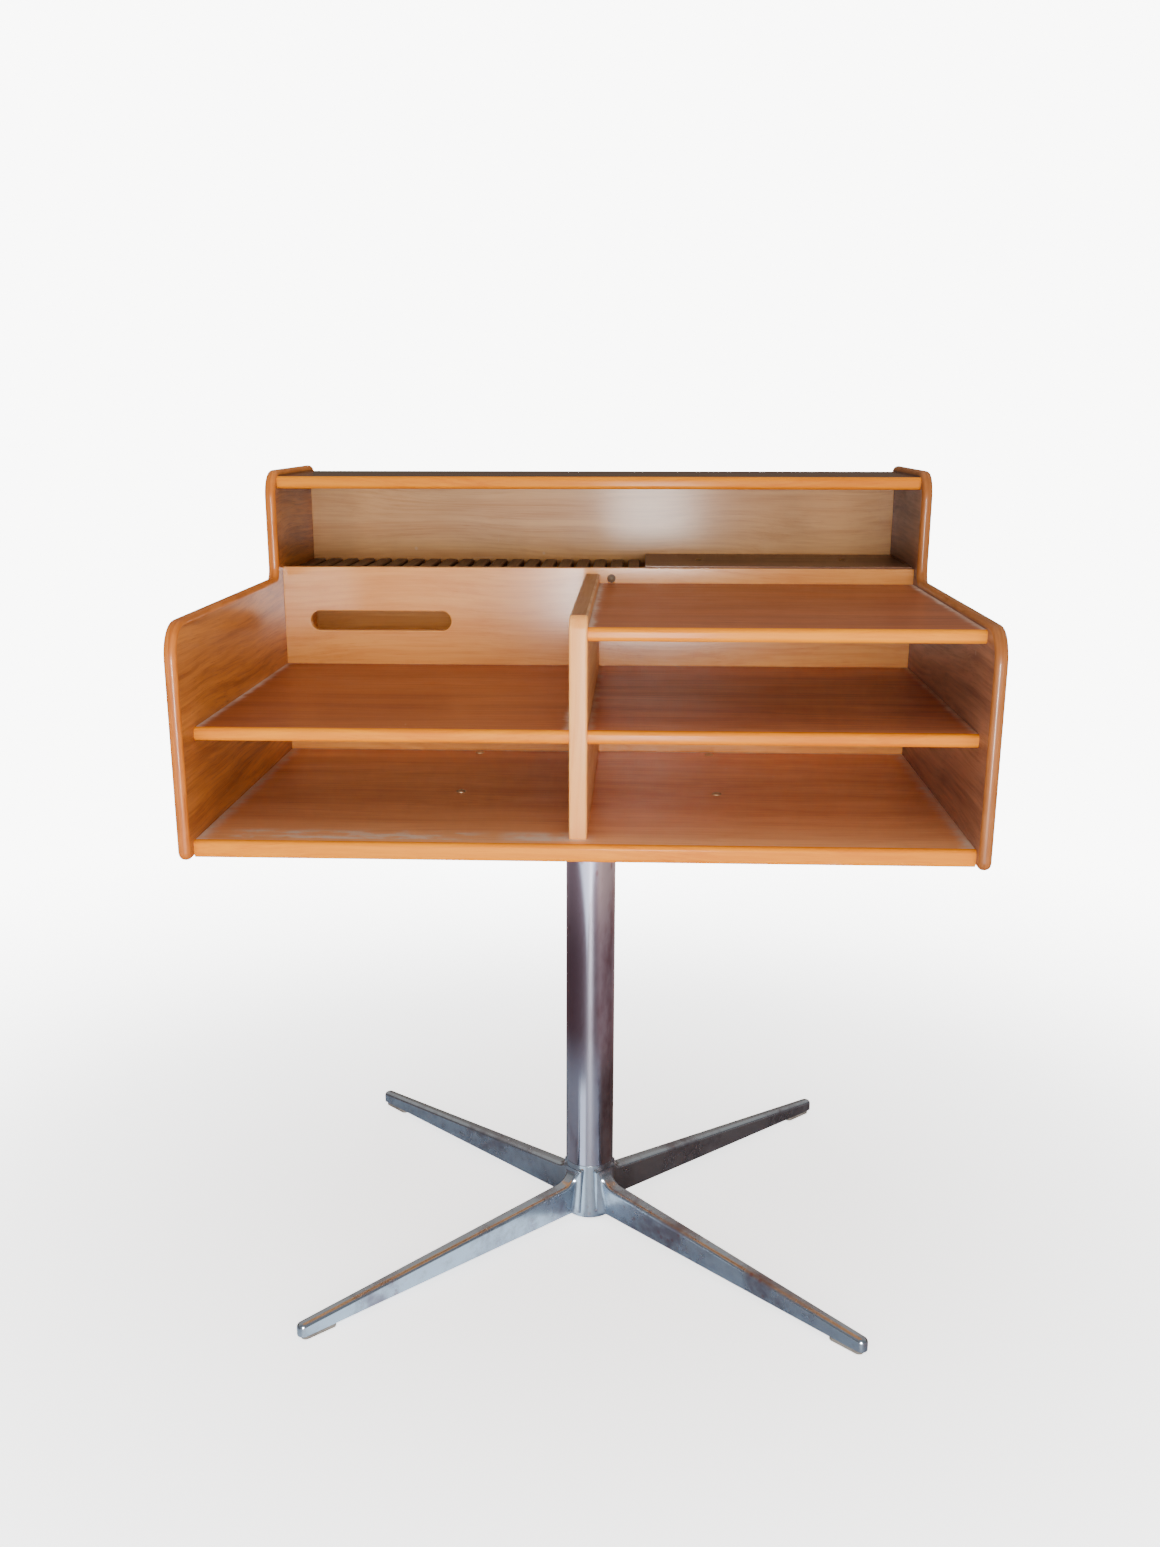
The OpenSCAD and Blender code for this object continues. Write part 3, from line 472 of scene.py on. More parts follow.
METALS = {
    "polished_alloy": metal("polished_alloy_finish", (176, 190, 204), (104, 88, 100), 0.2, 0.75, 0.35),
    "polished_column": metal("polished_column_finish", (182, 182, 198), (112, 66, 80), 0.1, 0.85, 0.8,
                             stretched=(1, 1, 0.45), haze=0.08),
    "zinc_steel": metal("zinc_steel_finish", (188, 188, 182), (132, 130, 126), 0.34, 0.5, 0.2),
    "dark_steel": metal("dark_steel_finish", (64, 64, 68), (44, 42, 44), 0.42),
    "turned_steel": metal("turned_steel_finish", (200, 202, 204), (140, 136, 132), 0.22, 0.4, 0.1,
                          stretched=(1, 1, 12)),
    "brassed_bolt": metal("brassed_bolt_finish", (206, 176, 136), (160, 126, 92), 0.5, 0.4, 0.2),
}

# %% [markdown]
# ## Rubber and plastic
# The pads under the toes, the bearing's washer and bushes, and the small cap are moulded. A moulding
# isn't one flat colour: it has a fine texture from the mould, and patches of dirt that darken it and
# dull it. Rubber and plastic need no metal and no grain, so they have a recipe of their own.

# %% Moulded finishes
def moulded(name, colour, dirt, roughness):
    material, tree, shader, where = new_material(name)
    soil = band(tree, noise(tree, where, 36.0, 5.0, 0.6), 0.42, 0.7)
    texture = noise(tree, where, 900.0, 2.0)
    relief = put(tree, "ShaderNodeBump", {"Height": texture, "Distance": 0.2 * MM, "Strength": 0.3})
    rough = maths(tree, "ADD", roughness, times(tree, soil, 0.15))
    tree.links.new(blend(tree, soil, tone(*colour), tone(*dirt)), shader.inputs["Base Color"])
    tree.links.new(rough, shader.inputs["Roughness"])
    tree.links.new(relief.outputs[0], shader.inputs["Normal"])
    print("moulded", name)
    return material


MOULDED = {
    "glide_rubber": moulded("glide_rubber_finish", (128, 122, 114), (92, 86, 80), 0.6),
    "nylon": moulded("nylon_finish", (222, 216, 196), (176, 166, 140), 0.4),
    "dark_plastic": moulded("dark_plastic_finish", (130, 108, 84), (92, 74, 58), 0.42),
}
FINISHES = {**WOODS, **METALS, **MOULDED}

# %% [markdown]
# ## Helpers for pieces
# Every board starts as a cube that is scaled to its CAD box, so nothing is measured twice. `soften`
# rounds chosen edges with a bevel and marks the strips that it makes as rim. `finish_piece` turns the
# bmesh into an object, hangs it on its body and hides the CAD node that it stands for. Weighted normals
# keep the large faces flat to the eye while the rounded strips shade smoothly into them.

# %% Helpers for shapes
X, Y, Z = range(3)
CLOSE = 0.05 * MM
FLAT = 0.999


def new_mesh():
    bm = bmesh.new()
    bm.faces.layers.float.new("rim")
    return bm


def box_mesh(low, high):
    bm = new_mesh()
    bmesh.ops.create_cube(bm, size=1.0)
    bmesh.ops.scale(bm, vec=high - low, verts=bm.verts)
    bmesh.ops.translate(bm, vec=(low + high) / 2, verts=bm.verts)
    return bm


def near(a, b):
    return abs(a - b) < CLOSE


def edges_where(bm, test):
    """The edges whose two ends both pass the test."""
    return [e for e in bm.edges if all(test(v.co) for v in e.verts)]


def level(edge, axis):
    """Whether both ends of the edge are at the same place along that axis."""
    return near(edge.verts[0].co[axis], edge.verts[1].co[axis])


def sharper(bm, angle):
    """The edges where two faces meet at more than that angle, in radians."""
    return [e for e in bm.edges if e.is_manifold and e.calc_face_angle() > angle]


def everything(bm):
    return list(bm.verts) + list(bm.edges) + list(bm.faces)


def bevel(bm, geom, offset, segments, affect="EDGES", clamp=False):
    return bmesh.ops.bevel(bm, geom=geom, offset=offset, offset_type="OFFSET", segments=segments,
                           profile=0.5, affect=affect, clamp_overlap=clamp, material=-1)["faces"]


def soften(bm, edges, width, segments, clamp=True):
    """Rounds the edges, and marks the new faces as rim, which is painted paler for wear and a painted
    highlight.
    """
    strips = bevel(bm, edges, width, segments, clamp=clamp)
    rim = bm.faces.layers.float["rim"]
    for face in strips:
        face[rim] = 1.0


def cut(bm, place, direction):
    bmesh.ops.bisect_plane(bm, geom=everything(bm), plane_co=place, plane_no=direction)


def shift_copy(bm, made, vector):
    """Moves what an operator has just made, so that the rest stays."""
    bmesh.ops.translate(bm, vec=vector, verts=[g for g in made if isinstance(g, bmesh.types.BMVert)])


def thicken(bm, vector):
    """Pulls flat faces out into a solid."""
    shift_copy(bm, bmesh.ops.extrude_face_region(bm, geom=list(bm.faces))["geom"], vector)


def turn(bm, degrees):
    matrix = Matrix.Rotation(math.radians(degrees), 3, "Z")
    bmesh.ops.rotate(bm, verts=bm.verts, cent=(0, 0, 0), matrix=matrix)


# %% Helpers for objects
SHARP_ANGLE = math.radians(48)


def as_object(name, bm):
    bmesh.ops.recalc_face_normals(bm, faces=bm.faces)
    mesh = bpy.data.meshes.new(name)
    bm.to_mesh(mesh)
    bm.free()
    made = bpy.data.objects.new(name, mesh)
    bpy.context.scene.collection.objects.link(made)
    return made


def finish_piece(name, bm, finishes, body, node):
    bmesh.ops.remove_doubles(bm, verts=bm.verts, dist=0.001 * MM)
    open_edges = sum(not e.is_manifold for e in bm.edges)
    piece = as_object(name, bm)
    for finish in finishes:
        piece.data.materials.append(FINISHES[finish])
    piece.data.shade_smooth()
    piece.data.set_sharp_from_angle(angle=SHARP_ANGLE)
    even = piece.modifiers.new("even shading", "WEIGHTED_NORMAL")
    even.keep_sharp = True
    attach(piece, body)
    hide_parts(node)
    print(f"{name}: {len(piece.data.polygons)} faces, {open_edges} open edges")


# %% [markdown]
# ## Flat boards
# A veneered board has a crisp arris that a sanding block has just broken, so a bevel of half a
# millimetre is enough. It still matters: without it an edge never catches the light.

# %% Shelves, floor and top
ARRIS = 0.6 * MM


def board(node, finish):
    bm = box_mesh(*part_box(node))
    soften(bm, list(bm.edges), ARRIS, 2)
    finish_piece(node + "_veneered", bm, [finish], "cabinet", node)


# The bottom board and the lower right shelf take lighter copies of the shelf veneer, a painted light
BOARDS = [
    ("bottom_board", "bottom_veneer", "shelf_veneer"),
    ("mid_shelf_left", "left_veneer", "shelf_veneer"),
    ("mid_shelf_right", "right_veneer", "shelf_veneer"),
    ("right_top_shelf", "right_top_veneer", "shelf_veneer"),
    ("back_panel", "back_veneer", "back_veneer"),
    ("compartment_floor", "raised_wood", "rack_wood"),
    ("top_board", "top_lacquer", "top_lacquer"),
    ("raised_board", "raised_wood", "rack_wood"),
]
for node, finish, slot in BOARDS:
    board(node, finish)

# %% [markdown]
# ## Lippings
# A lipping is a strip of solid wood glued to the edge of a veneered board, with its outer edges
# rounded over. Its outer side faces the user on the front ones, and backwards on the two rear ones.

# %% Rounded strips of solid wood
LIPPING_ROUND = 5.5 * MM
FRONT, REAR = 0, 1
LIPPINGS = {
    "bottom_front_lipping": FRONT, "bottom_rear_lipping": REAR, "mid_shelf_left_lipping": FRONT,
    "mid_shelf_right_lipping": FRONT, "right_top_shelf_lipping": FRONT, "top_front_lipping": FRONT,
    "top_rear_lipping": REAR,
}


def lipping(node, side):
    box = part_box(node)
    bm = box_mesh(*box)
    outer = edges_where(bm, lambda p: near(p.y, box[side].y))
    soften(bm, [e for e in outer if level(e, Z)], LIPPING_ROUND, 6)
    finish_piece(node + "_strip", bm, ["solid_lipping"], "cabinet", node)


for node, side in LIPPINGS.items():
    lipping(node, side)

# %% [markdown]
# ## Side panels
# Each side is one stepped board with every corner and edge rounded. It starts as a flat face with
# six corners. A vertex bevel turns each corner into an arc of its own radius, one extrusion gives the
# thickness, and an edge bevel rounds both outlines. The rim is solid wood, so it has its own material
# with grain that runs along the edge.

# %% The two stepped sides
SIDE_ROUND = 7 * MM
BOARD_INSET = 20 * MM
SIDE_RISE = 9 * MM
STEP_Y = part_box("top_front_lipping")[0].y - BOARD_INSET
LOW_TOP_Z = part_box("right_top_shelf")[1].z + SIDE_RISE
FOOT_RADIUS = 12 * MM
REAR_RADIUS = 25 * MM
STEP_RADIUS = 40 * MM
INNER_RADIUS = 15 * MM
FRONT_RADIUS = 45 * MM


def side_panel(node, face_finish, edge_finish):
    low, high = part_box(node)
    corners = [
        (low.y, low.z, FOOT_RADIUS), (high.y, low.z, FOOT_RADIUS), (high.y, high.z, REAR_RADIUS),
        (STEP_Y, high.z, STEP_RADIUS), (STEP_Y, LOW_TOP_Z, INNER_RADIUS), (low.y, LOW_TOP_Z, FRONT_RADIUS),
    ]
    bm = new_mesh()
    verts = [bm.verts.new((low.x, y, z)) for y, z, radius in corners]
    bm.faces.new(verts)
    for vert, (y, z, radius) in zip(verts, corners):
        bevel(bm, [vert], radius, 10, affect="VERTICES")
    thicken(bm, (high.x - low.x, 0, 0))
    soften(bm, [e for e in bm.edges if level(e, X)], SIDE_ROUND, 5, clamp=False)
    bm.normal_update()
    for face in bm.faces:
        face.material_index = 0 if abs(face.normal.x) > FLAT else 1
    finish_piece(node + "_veneered", bm, [face_finish, edge_finish], "cabinet", node)


side_panel("side_panel_left", "side_veneer", "side_edge")
# The right side takes the darker copies, a painted shade
side_panel("side_panel_right", "right_side_veneer", "right_side_edge")

# %% [markdown]
# ## Divider
# The upright between the bays is thicker than the shelves and has a pale solid front. Its top front
# corner is rounded, then its long edges are. It stays square at the bottom and at the back, where it
# meets other boards. A cut behind the front edge keeps the pale strip's faces apart from the veneer.

# %% Divider with its pale front
DIVIDER_CORNER = 16 * MM
DIVIDER_ROUND = 3 * MM
FRONT_STRIP = 17 * MM


def divider():
    low, high = DIVIDER_LOW, DIVIDER_HIGH
    bm = box_mesh(low, high)
    bevel(bm, edges_where(bm, lambda p: near(p.y, low.y) and near(p.z, high.z)), DIVIDER_CORNER, 8)
    joined = edges_where(bm, lambda p: near(p.z, low.z)) + edges_where(bm, lambda p: near(p.y, high.y))
    soften(bm, [e for e in bm.edges if level(e, X) and e not in joined], DIVIDER_ROUND, 4)
    cut(bm, (0, low.y + FRONT_STRIP, 0), (0, 1, 0))
    for face in bm.faces:
        face.material_index = 1 if face.calc_center_median().y < low.y + FRONT_STRIP else 0
    finish_piece("divider_veneered", bm, ["divider_wood", "divider_front"], "cabinet", "divider")


divider()

# %% [markdown]
# ## Inner panel with its slot
# Cables pass through a long slot with round ends. The slot is a circle pulled apart into a long loop.
# The loop and the panel's outline are filled together, which leaves the hole open, and the face is
# then extruded to the panel's thickness. The slot's rim is rounded a little more than the outer arris.
# The rear face isn't seen in use, so it has no stain.

# %% Panel, slot and rim
SLOT_LENGTH = 220 * MM
SLOT_HEIGHT = 30 * MM
SLOT_FROM_SIDE = 40 * MM
SLOT_UP = 67 * MM
SLOT_ROUND = 1.6 * MM
CORNER_ANGLE = 1.2


def slot_loop(bm, centre):
    """A circle whose two halves are pulled apart into a long loop with round ends."""
    radius = SLOT_HEIGHT / 2
    loop = bmesh.ops.create_circle(bm, segments=40, radius=radius, cap_ends=False)["verts"]
    bmesh.ops.rotate(bm, verts=loop, cent=(0, 0, 0), matrix=Matrix.Rotation(math.pi / 2, 3, "X"))
    for vert in loop:
        way = 1 if vert.co.x > 0 else -1
        vert.co += centre + Vector((way * (SLOT_LENGTH / 2 - radius), 0, 0))


def inner_panel():
    low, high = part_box("inner_panel")
    slot_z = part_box("mid_shelf_left")[1].z + SLOT_UP
    centre = Vector((low.x + SLOT_FROM_SIDE + SLOT_LENGTH / 2, low.y, slot_z))
    bm = new_mesh()
    slot_loop(bm, centre)
    outline = [(low.x, low.z), (high.x, low.z), (high.x, high.z), (low.x, high.z)]
    corners = [bm.verts.new((x, low.y, z)) for x, z in outline]
    for i in range(len(corners)):
        bm.edges.new((corners[i - 1], corners[i]))
    bmesh.ops.triangle_fill(bm, use_beauty=True, edges=list(bm.edges))
    thicken(bm, (0, high.y - low.y, 0))
    bmesh.ops.recalc_face_normals(bm, faces=bm.faces)
    round_slot = [e for e in sharper(bm, CORNER_ANGLE)
                  if all((v.co - centre).xz.length < SLOT_LENGTH * 0.6 for v in e.verts)]
    soften(bm, round_slot, SLOT_ROUND, 3)
    soften(bm, sharper(bm, CORNER_ANGLE), ARRIS, 2)
    bm.normal_update()
    for face in bm.faces:
        face.material_index = 1 if face.normal.y > FLAT else 0
    finish_piece("inner_panel_veneered", bm, ["inner_veneer", "beech"], "cabinet", "inner_panel")


inner_panel()

# %% [markdown]
# ## Grooved rack
# Twenty ridges stand on the floor of the rear compartment, and cards stand in the grooves between
# them. One ridge is a softened bar, and a loop copies it by the pitch that the CAD box gives.

# %% Ridges
RIDGES = 20
RIDGE_WIDTH = 20 * MM
RIDGE_ROUND = 3 * MM


def ridges():
    low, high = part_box("rack_ridges")
    pitch = (high.x - low.x - RIDGE_WIDTH) / (RIDGES - 1)
    bm = box_mesh(low, Vector((low.x + RIDGE_WIDTH, high.y, high.z)))
    crown = edges_where(bm, lambda p: near(p.z, high.z))
    soften(bm, [e for e in crown if level(e, X)], RIDGE_ROUND, 4)
    first = everything(bm)
    for i in range(1, RIDGES):
        shift_copy(bm, bmesh.ops.duplicate(bm, geom=first)["geom"], (i * pitch, 0, 0))
    finish_piece("rack_ridges_milled", bm, ["rack_wood"], "cabinet", "rack_ridges")


ridges()

# %% [markdown]
# ## Column
# Turned pieces are a profile spun round the axis. The tube has an outer wall, an inner wall and two
# flat ends, with the outer arrises broken.

# %% Column tube
def turned(bm, profile, steps=96):
    """Spins a closed profile of (radius, height) points round the Z axis."""
    verts = [bm.verts.new((r, 0, z)) for r, z in profile]
    edges = [bm.edges.new((verts[i - 1], verts[i])) for i in range(len(verts))]
    bmesh.ops.spin(bm, geom=verts + edges, cent=(0, 0, 0), axis=(0, 0, 1), angle=2 * math.pi, steps=steps,
                   use_merge=True, use_duplicate=False)
    bmesh.ops.remove_doubles(bm, verts=bm.verts, dist=0.01 * MM)


COLUMN_LOW, COLUMN_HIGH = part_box("column_tube")
COLUMN_R = COLUMN_HIGH.x
COLUMN_WALL = 3 * MM
column = new_mesh()
turned(column, [
    (COLUMN_R - COLUMN_WALL, COLUMN_LOW.z), (COLUMN_R - ARRIS, COLUMN_LOW.z),
    (COLUMN_R, COLUMN_LOW.z + ARRIS), (COLUMN_R, COLUMN_HIGH.z - ARRIS),
    (COLUMN_R - ARRIS, COLUMN_HIGH.z), (COLUMN_R - COLUMN_WALL, COLUMN_HIGH.z),
])
finish_piece("column_tube_polished", column, ["polished_column"], "pedestal", "column_tube")

# %% [markdown]
# ## Star base
# The base is a casting: a hub, and four legs that run out and down from it to round toes. A leg is a
# cube pulled long, with its end rounded in plan and cut across into stations. Each station then gets
# its width and its height, and both flare near the hub as the foundry's fillet does. The long edges
# are rounded last. The hub is turned, with a round lower edge, a recess below for the bolt that ties
# the column to it, and a socket above. A Boolean joins the legs and the hub into one skin.

# %% Sizes of the base
BASE_LOW, BASE_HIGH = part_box("star_base")
HUB_BOTTOM, HUB_TOP = BASE_LOW.z, COLUMN_LOW.z
HUB_ROUND = 4 * MM
BOLT_HOLE_R = 6.4 * MM
RECESS_R = 24 * MM
RECESS_DEPTH, SOCKET_DEPTH = 30 * MM, 46 * MM
PAD_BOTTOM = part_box("glide_pads")[0].z
PAD_TOP = PAD_BOTTOM + 6 * MM
TOE_R = 9 * MM
LEG_REACH = (BASE_HIGH.x - TOE_R) / math.cos(math.pi / 4) + TOE_R
LEG_ROOT = 24 * MM
ROOT_WIDTH, KEEL_WIDTH, TOE_WIDTH = 26 * MM, 14 * MM, 18 * MM
ROOT_TOP, TOE_TOP = 66 * MM, 25 * MM
ROOT_BOTTOM = 12 * MM
FILLET, SIDE_FILLET = 26 * MM, 9 * MM
CROWN_ROUND, KEEL_ROUND = 7 * MM, 1.2 * MM
LEG_ANGLES = [45, 135, 225, 315]
print("leg reach", round(LEG_REACH, 4))


def fillet(distance, radius):
    """How far a fillet of that radius stands out at that distance from the hub's wall."""
    return 0 if distance >= radius else radius - math.sqrt(radius ** 2 - (radius - max(distance, 0)) ** 2)


# %% One leg
def shape_station(place):
    """Gives one corner of the long cube its place on the leg."""
    wall = place.x - COLUMN_R
    share = wall / (LEG_REACH - COLUMN_R)
    upper = place.z > 0.5
    root_width = ROOT_WIDTH if upper else KEEL_WIDTH
    width = root_width + (TOE_WIDTH - root_width) * share + 2 * fillet(wall, SIDE_FILLET)
    top = ROOT_TOP + (TOE_TOP - ROOT_TOP) * share + fillet(wall, FILLET)
    place.y *= width / TOE_WIDTH
    place.z = top if upper else ROOT_BOTTOM + (PAD_TOP - ROOT_BOTTOM) * share


def leg_mesh():
    bm = new_mesh()
    bmesh.ops.create_cube(bm, size=1.0)
    bmesh.ops.scale(bm, vec=(LEG_REACH - LEG_ROOT, TOE_WIDTH, 1.0), verts=bm.verts)
    bmesh.ops.translate(bm, vec=((LEG_REACH + LEG_ROOT) / 2, 0, 0.5), verts=bm.verts)
    toe = edges_where(bm, lambda p: near(p.x, LEG_REACH))
    bevel(bm, [e for e in toe if level(e, Y)], TOE_R - 0.3 * MM, 8)
    by_the_hub = [COLUMN_R + (i * 2.5 - 2) * MM for i in range(13)]
    along_the_leg = [COLUMN_R + (i * 36 + 34) * MM for i in range(13)]
    for x in by_the_hub + along_the_leg:
        cut(bm, (x, 0, 0), (1, 0, 0))
    for vert in bm.verts:
        shape_station(vert.co)
    bmesh.ops.recalc_face_normals(bm, faces=bm.faces)
    keel = ROOT_BOTTOM + MM
    crown = [e for e in outside_the_hub(bm) if min(v.co.z for v in e.verts) > keel]
    soften(bm, crown, CROWN_ROUND, 6, clamp=False)
    lower = [e for e in outside_the_hub(bm) if max(v.co.z for v in e.verts) < keel]
    soften(bm, lower, KEEL_ROUND, 2, clamp=False)
    return bm


def outside_the_hub(bm):
    """The sharp edges of a leg, apart from those of its hidden root."""
    return [e for e in sharper(bm, 1.0) if max(v.co.x for v in e.verts) > LEG_ROOT + MM]


# %% The hub, joined with its legs
def hub_object():
    bm = new_mesh()
    steps = [math.radians(15 * i) for i in range(7)]
    round_foot = [(COLUMN_R - HUB_ROUND * (1 - math.sin(a)), HUB_BOTTOM + HUB_ROUND * (1 - math.cos(a)))
                  for a in steps]
    recess_top, socket_floor = HUB_BOTTOM + RECESS_DEPTH, HUB_TOP - SOCKET_DEPTH
    turned(bm, [
        (BOLT_HOLE_R, recess_top), (RECESS_R, recess_top), (RECESS_R, HUB_BOTTOM), *round_foot,
        (COLUMN_R, HUB_TOP - ARRIS), (COLUMN_R - ARRIS, HUB_TOP), (RECESS_R, HUB_TOP),
        (RECESS_R, socket_floor), (BOLT_HOLE_R, socket_floor),
    ])
    return as_object("hub", bm)


def star_base():
    base = hub_object()
    for angle in LEG_ANGLES:
        bm = leg_mesh()
        turn(bm, angle)
        leg = as_object("leg", bm)
        join = base.modifiers.new("join", "BOOLEAN")
        join.operation = "UNION"
        join.solver = "EXACT"
        join.object = leg
        shape = bpy.data.meshes.new_from_object(base.evaluated_get(bpy.context.evaluated_depsgraph_get()))
        base.modifiers.clear()
        base.data = shape
        bpy.data.objects.remove(leg)
    bm = bmesh.new()
    bm.from_mesh(base.data)
    bpy.data.objects.remove(base)
    finish_piece("star_base_cast", bm, ["polished_alloy"], "pedestal", "star_base")


star_base()

# %% [markdown]
# ## Glide pads
# A rubber pad under each toe keeps the metal off the floor. It is a flat bar with round ends, and its
# corners are softened so that it doesn't look cut from sheet.

# %% Pads under the toes
PAD_LENGTH, PAD_WIDTH = 56 * MM, 14 * MM
PAD_REACH = LEG_REACH - 34 * MM
PAD_ROUND = 1 * MM


def glide_pads():
    low = Vector((PAD_REACH - PAD_LENGTH / 2, -PAD_WIDTH / 2, PAD_BOTTOM))
    high = Vector((PAD_REACH + PAD_LENGTH / 2, PAD_WIDTH / 2, PAD_TOP))
    all_pads = new_mesh()
    for angle in LEG_ANGLES:
        bm = box_mesh(low, high)
        upright = [e for e in bm.edges if level(e, X) and level(e, Y)]
        soften(bm, upright, PAD_WIDTH / 2 - 0.1 * MM, 8, clamp=False)
        rims = [e for e in bm.edges if level(e, Z) and any(abs(f.normal.z) > 0.9 for f in e.link_faces)]
        soften(bm, rims, PAD_ROUND, 2, clamp=False)
        turn(bm, angle)
        part = bpy.data.meshes.new("pad")
        bm.to_mesh(part)
        bm.free()
        all_pads.from_mesh(part)
        bpy.data.meshes.remove(part)
    finish_piece("glide_pads_moulded", all_pads, ["glide_rubber"], "pedestal", "glide_pads")


glide_pads()

# %% [markdown]
# ## Pieces that keep their CAD shape
# The bearing, the fastenings and the other inner pieces are already right, because each is a turned
# or cut part. They only get a finish, by the name of the slot that the record gives them.

# %% Finish the carried-over pieces
dressed = 0
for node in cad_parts.values():
    for slot in node.material_slots:
        if slot.material and slot.material.name in FINISHES:
            slot.material = FINISHES[slot.material.name]
            dressed += 1
print("carried-over pieces dressed:", dressed)

# %% [markdown]
# ## Floor
# The setting is a plain pale floor that fades into a white surround, so that no horizon cuts behind
# the cabinet. Polished metal shows what stands round it, and in an all-white studio it would look
# like chalk. So reflected rays meet a darker floor, coloured by its distance and by its bearing from
# the column, and two bright patches in front on the left, as light from a window makes. The floor is
# clear from below, so the underside of the cabinet can be looked at.

# %% What the metal sees of the floor
# Colours near the base, halfway out and far away, each straight ahead and to the right
NEAR_FLOOR, NEAR_RIGHT = (0.32, 0.37, 0.44, 1), (0.15, 0.11, 0.10, 1)
MIDDLE_FLOOR, MIDDLE_RIGHT = (0.11, 0.05, 0.06, 1), (0.38, 0.26, 0.26, 1)
FAR_FLOOR, FAR_RIGHT = (0.38, 0.26, 0.27, 1), (1.0, 0.70, 0.58, 1)
WINDOW_BEARING, WINDOW_SPREAD = -0.25, 1.15
WINDOW_GLOW, QUARTER_GLOW = 2.2, 1.4


def mirrored_floor(tree, away, bearing):
    rightwards = band(tree, bearing, 0.35, 0.9)
    close = blend(tree, band(tree, bearing, 0.7, 1.1), NEAR_FLOOR, NEAR_RIGHT)
    middle = blend(tree, rightwards, MIDDLE_FLOOR, MIDDLE_RIGHT)
    far = blend(tree, rightwards, FAR_FLOOR, FAR_RIGHT)
    outer = blend(tree, band(tree, away, 1.2, 2.2), middle, far)
    return blend(tree, band(tree, away, 0.5, 0.85), close, outer)


def mirrored_glow(tree, away, bearing):
    """A long patch that widens as it goes away, and a short one close to the base."""
    aside = maths(tree, "ABSOLUTE", maths(tree, "SUBTRACT", bearing, WINDOW_BEARING))
    inside = maths(tree, "SUBTRACT", band(tree, away, 1.2, 2.9), maths(tree, "DIVIDE", aside, WINDOW_SPREAD))
    window = times(tree, band(tree, inside, -0.06, 0.16), band(tree, away, 1.0, 1.5), WINDOW_GLOW)
    quarter = times(tree, band(tree, bearing, -1.0, -0.75), band(tree, bearing, -0.2, -0.4),
                   band(tree, away, 0.62, 0.5), QUARTER_GLOW)
    return maths(tree, "ADD", window, quarter)


# %% Floor
FLOOR_RADIUS = 7.0
FLOOR_COLOUR = (0.86, 0.855, 0.845, 1)
WHITE = (1, 1, 1, 1)
WINDOW_LIGHT = (0.82, 0.93, 1.0, 1)


def floor_finish():
    material, tree, shader, where = new_material("pale_floor")
    away = put(tree, "ShaderNodeVectorMath", {0: where}, operation="LENGTH").outputs["Value"]
    spot = parts(tree, where)
    bearing = maths(tree, "ARCTAN2", spot[0], times(tree, spot[1], -1.0))
    rays = put(tree, "ShaderNodeLightPath").outputs
    mirrored, seen = rays["Is Glossy Ray"], rays["Is Camera Ray"]
    colour = blend(tree, mirrored, FLOOR_COLOUR, mirrored_floor(tree, away, bearing))
    lift = times(tree, seen, band(tree, away, 0.2, 1.9, 2.0, 4.6))
    glow = maths(tree, "ADD", lift, times(tree, mirrored, mirrored_glow(tree, away, bearing)))
    fade = maths(tree, "MAXIMUM", band(tree, away, 0.9, 2.6, 1.0, 0.0), maths(tree, "SUBTRACT", 1.0, seen))
    below = put(tree, "ShaderNodeNewGeometry").outputs["Backfacing"]
    fade = times(tree, fade, maths(tree, "SUBTRACT", 1.0, below))
    tree.links.new(colour, shader.inputs["Base Color"])
    tree.links.new(blend(tree, mirrored, WHITE, WINDOW_LIGHT), shader.inputs["Emission Color"])
    tree.links.new(glow, shader.inputs["Emission Strength"])
    tree.links.new(fade, shader.inputs["Alpha"])
    shader.inputs["Roughness"].default_value = 0.7
    return material


disc = bmesh.new()
bmesh.ops.create_circle(disc, cap_ends=True, segments=96, radius=FLOOR_RADIUS)
floor = as_object("floor", disc)
floor.data.materials.append(floor_finish())
print("floor radius", FLOOR_RADIUS)

# %% [markdown]
# ## Surround and light
# The camera sees a white surround, and reflections see a room that is grey in front of the cabinet,
# dark brown behind it and lighter overhead. A large soft light stands in front on the right, a weaker
# one on the left and one above. A low one far behind shines through the cable opening, so that the
# slot shows a lit surface. A tall narrow one near the camera makes the upright glare of lacquered
# wood: it is only seen in reflections, and the others are never seen in them.

# %% Surround
SURROUND = (9.0, 9.0, 8.9, 1)
ROOM = (0.70, 0.70, 0.71, 1)
ROOM_AHEAD = (0.26, 0.26, 0.27, 1)
ROOM_BEHIND = (0.15, 0.105, 0.075, 1)
ROOM_ABOVE = (0.60, 0.53, 0.47, 1)


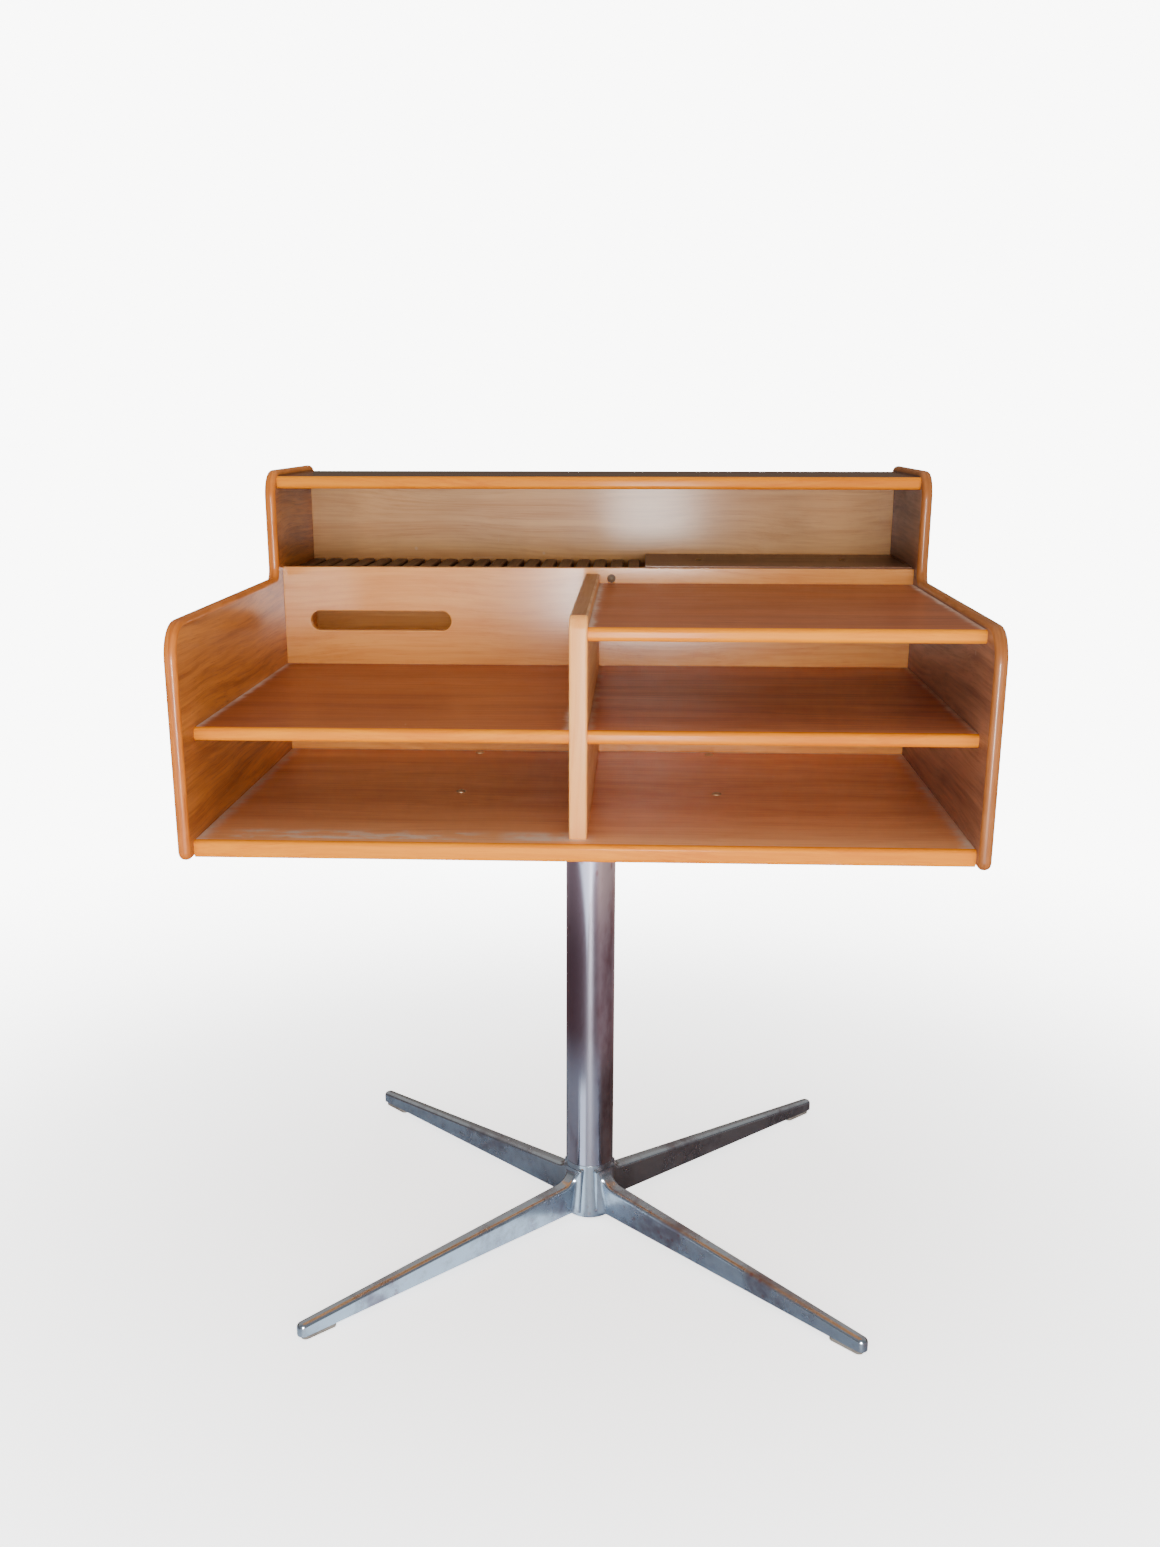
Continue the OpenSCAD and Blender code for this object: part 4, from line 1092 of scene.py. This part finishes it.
def surround():
    world = bpy.data.worlds.new("studio")
    bpy.context.scene.world = world
    world.use_nodes = True
    tree = world.node_tree
    rays = put(tree, "ShaderNodeLightPath").outputs
    facing = parts(tree, put(tree, "ShaderNodeTexCoord").outputs["Generated"])
    behind = blend(tree, band(tree, facing[2], 0.25, 0.42), ROOM_BEHIND, ROOM_ABOVE)
    mirrored = blend(tree, band(tree, facing[1], -0.5, 0.5), ROOM_AHEAD, behind)
    colour = blend(tree, rays["Is Glossy Ray"], ROOM, mirrored)
    colour = blend(tree, rays["Is Camera Ray"], colour, SURROUND)
    tree.links.new(colour, tree.nodes["Background"].inputs["Color"])


surround()

# %% Lamps
MIDDLE = (0, 0, 0.85)
WARM, COOL, NEUTRAL = (1.0, 0.965, 0.91), (0.97, 0.98, 1.0), (1, 1, 1)
SKYLIGHT, SUNLIGHT = (0.78, 0.93, 1.0), (1.0, 0.985, 0.96)


def softbox(name, place, target, width, height, power, colour, only_mirrored=False):
    light = bpy.data.lights.new(name, "AREA")
    light.shape = "RECTANGLE"
    light.size, light.size_y = width, height
    light.energy = power
    light.color = colour
    lamp = bpy.data.objects.new(name, light)
    lamp.location = place
    lamp.rotation_euler = (Vector(target) - Vector(place)).to_track_quat("-Z", "Y").to_euler()
    lamp.visible_glossy = only_mirrored
    lamp.visible_diffuse = not only_mirrored
    bpy.context.scene.collection.objects.link(lamp)
    print(name, power, "W")


# Each lamp: its place, what it points at, its width and height in metres, and its power in watts
softbox("key", (0.8, -3.0, 1.0), MIDDLE, 1.4, 1.0, 62, WARM)
softbox("fill", (-0.9, -2.9, 0.85), MIDDLE, 1.2, 1.0, 42, COOL)
softbox("above", (0, -0.2, 3.0), MIDDLE, 2.2, 2.2, 10, NEUTRAL)
softbox("behind", (-0.3, 2.6, 0.12), (-0.33, 0.2, 0.86), 0.9, 0.2, 120, SKYLIGHT)
softbox("glare", (0.1, -2.5, 0.72), (0.03, 0.15, 0.95), 0.26, 0.70, 190, SUNLIGHT, only_mirrored=True)
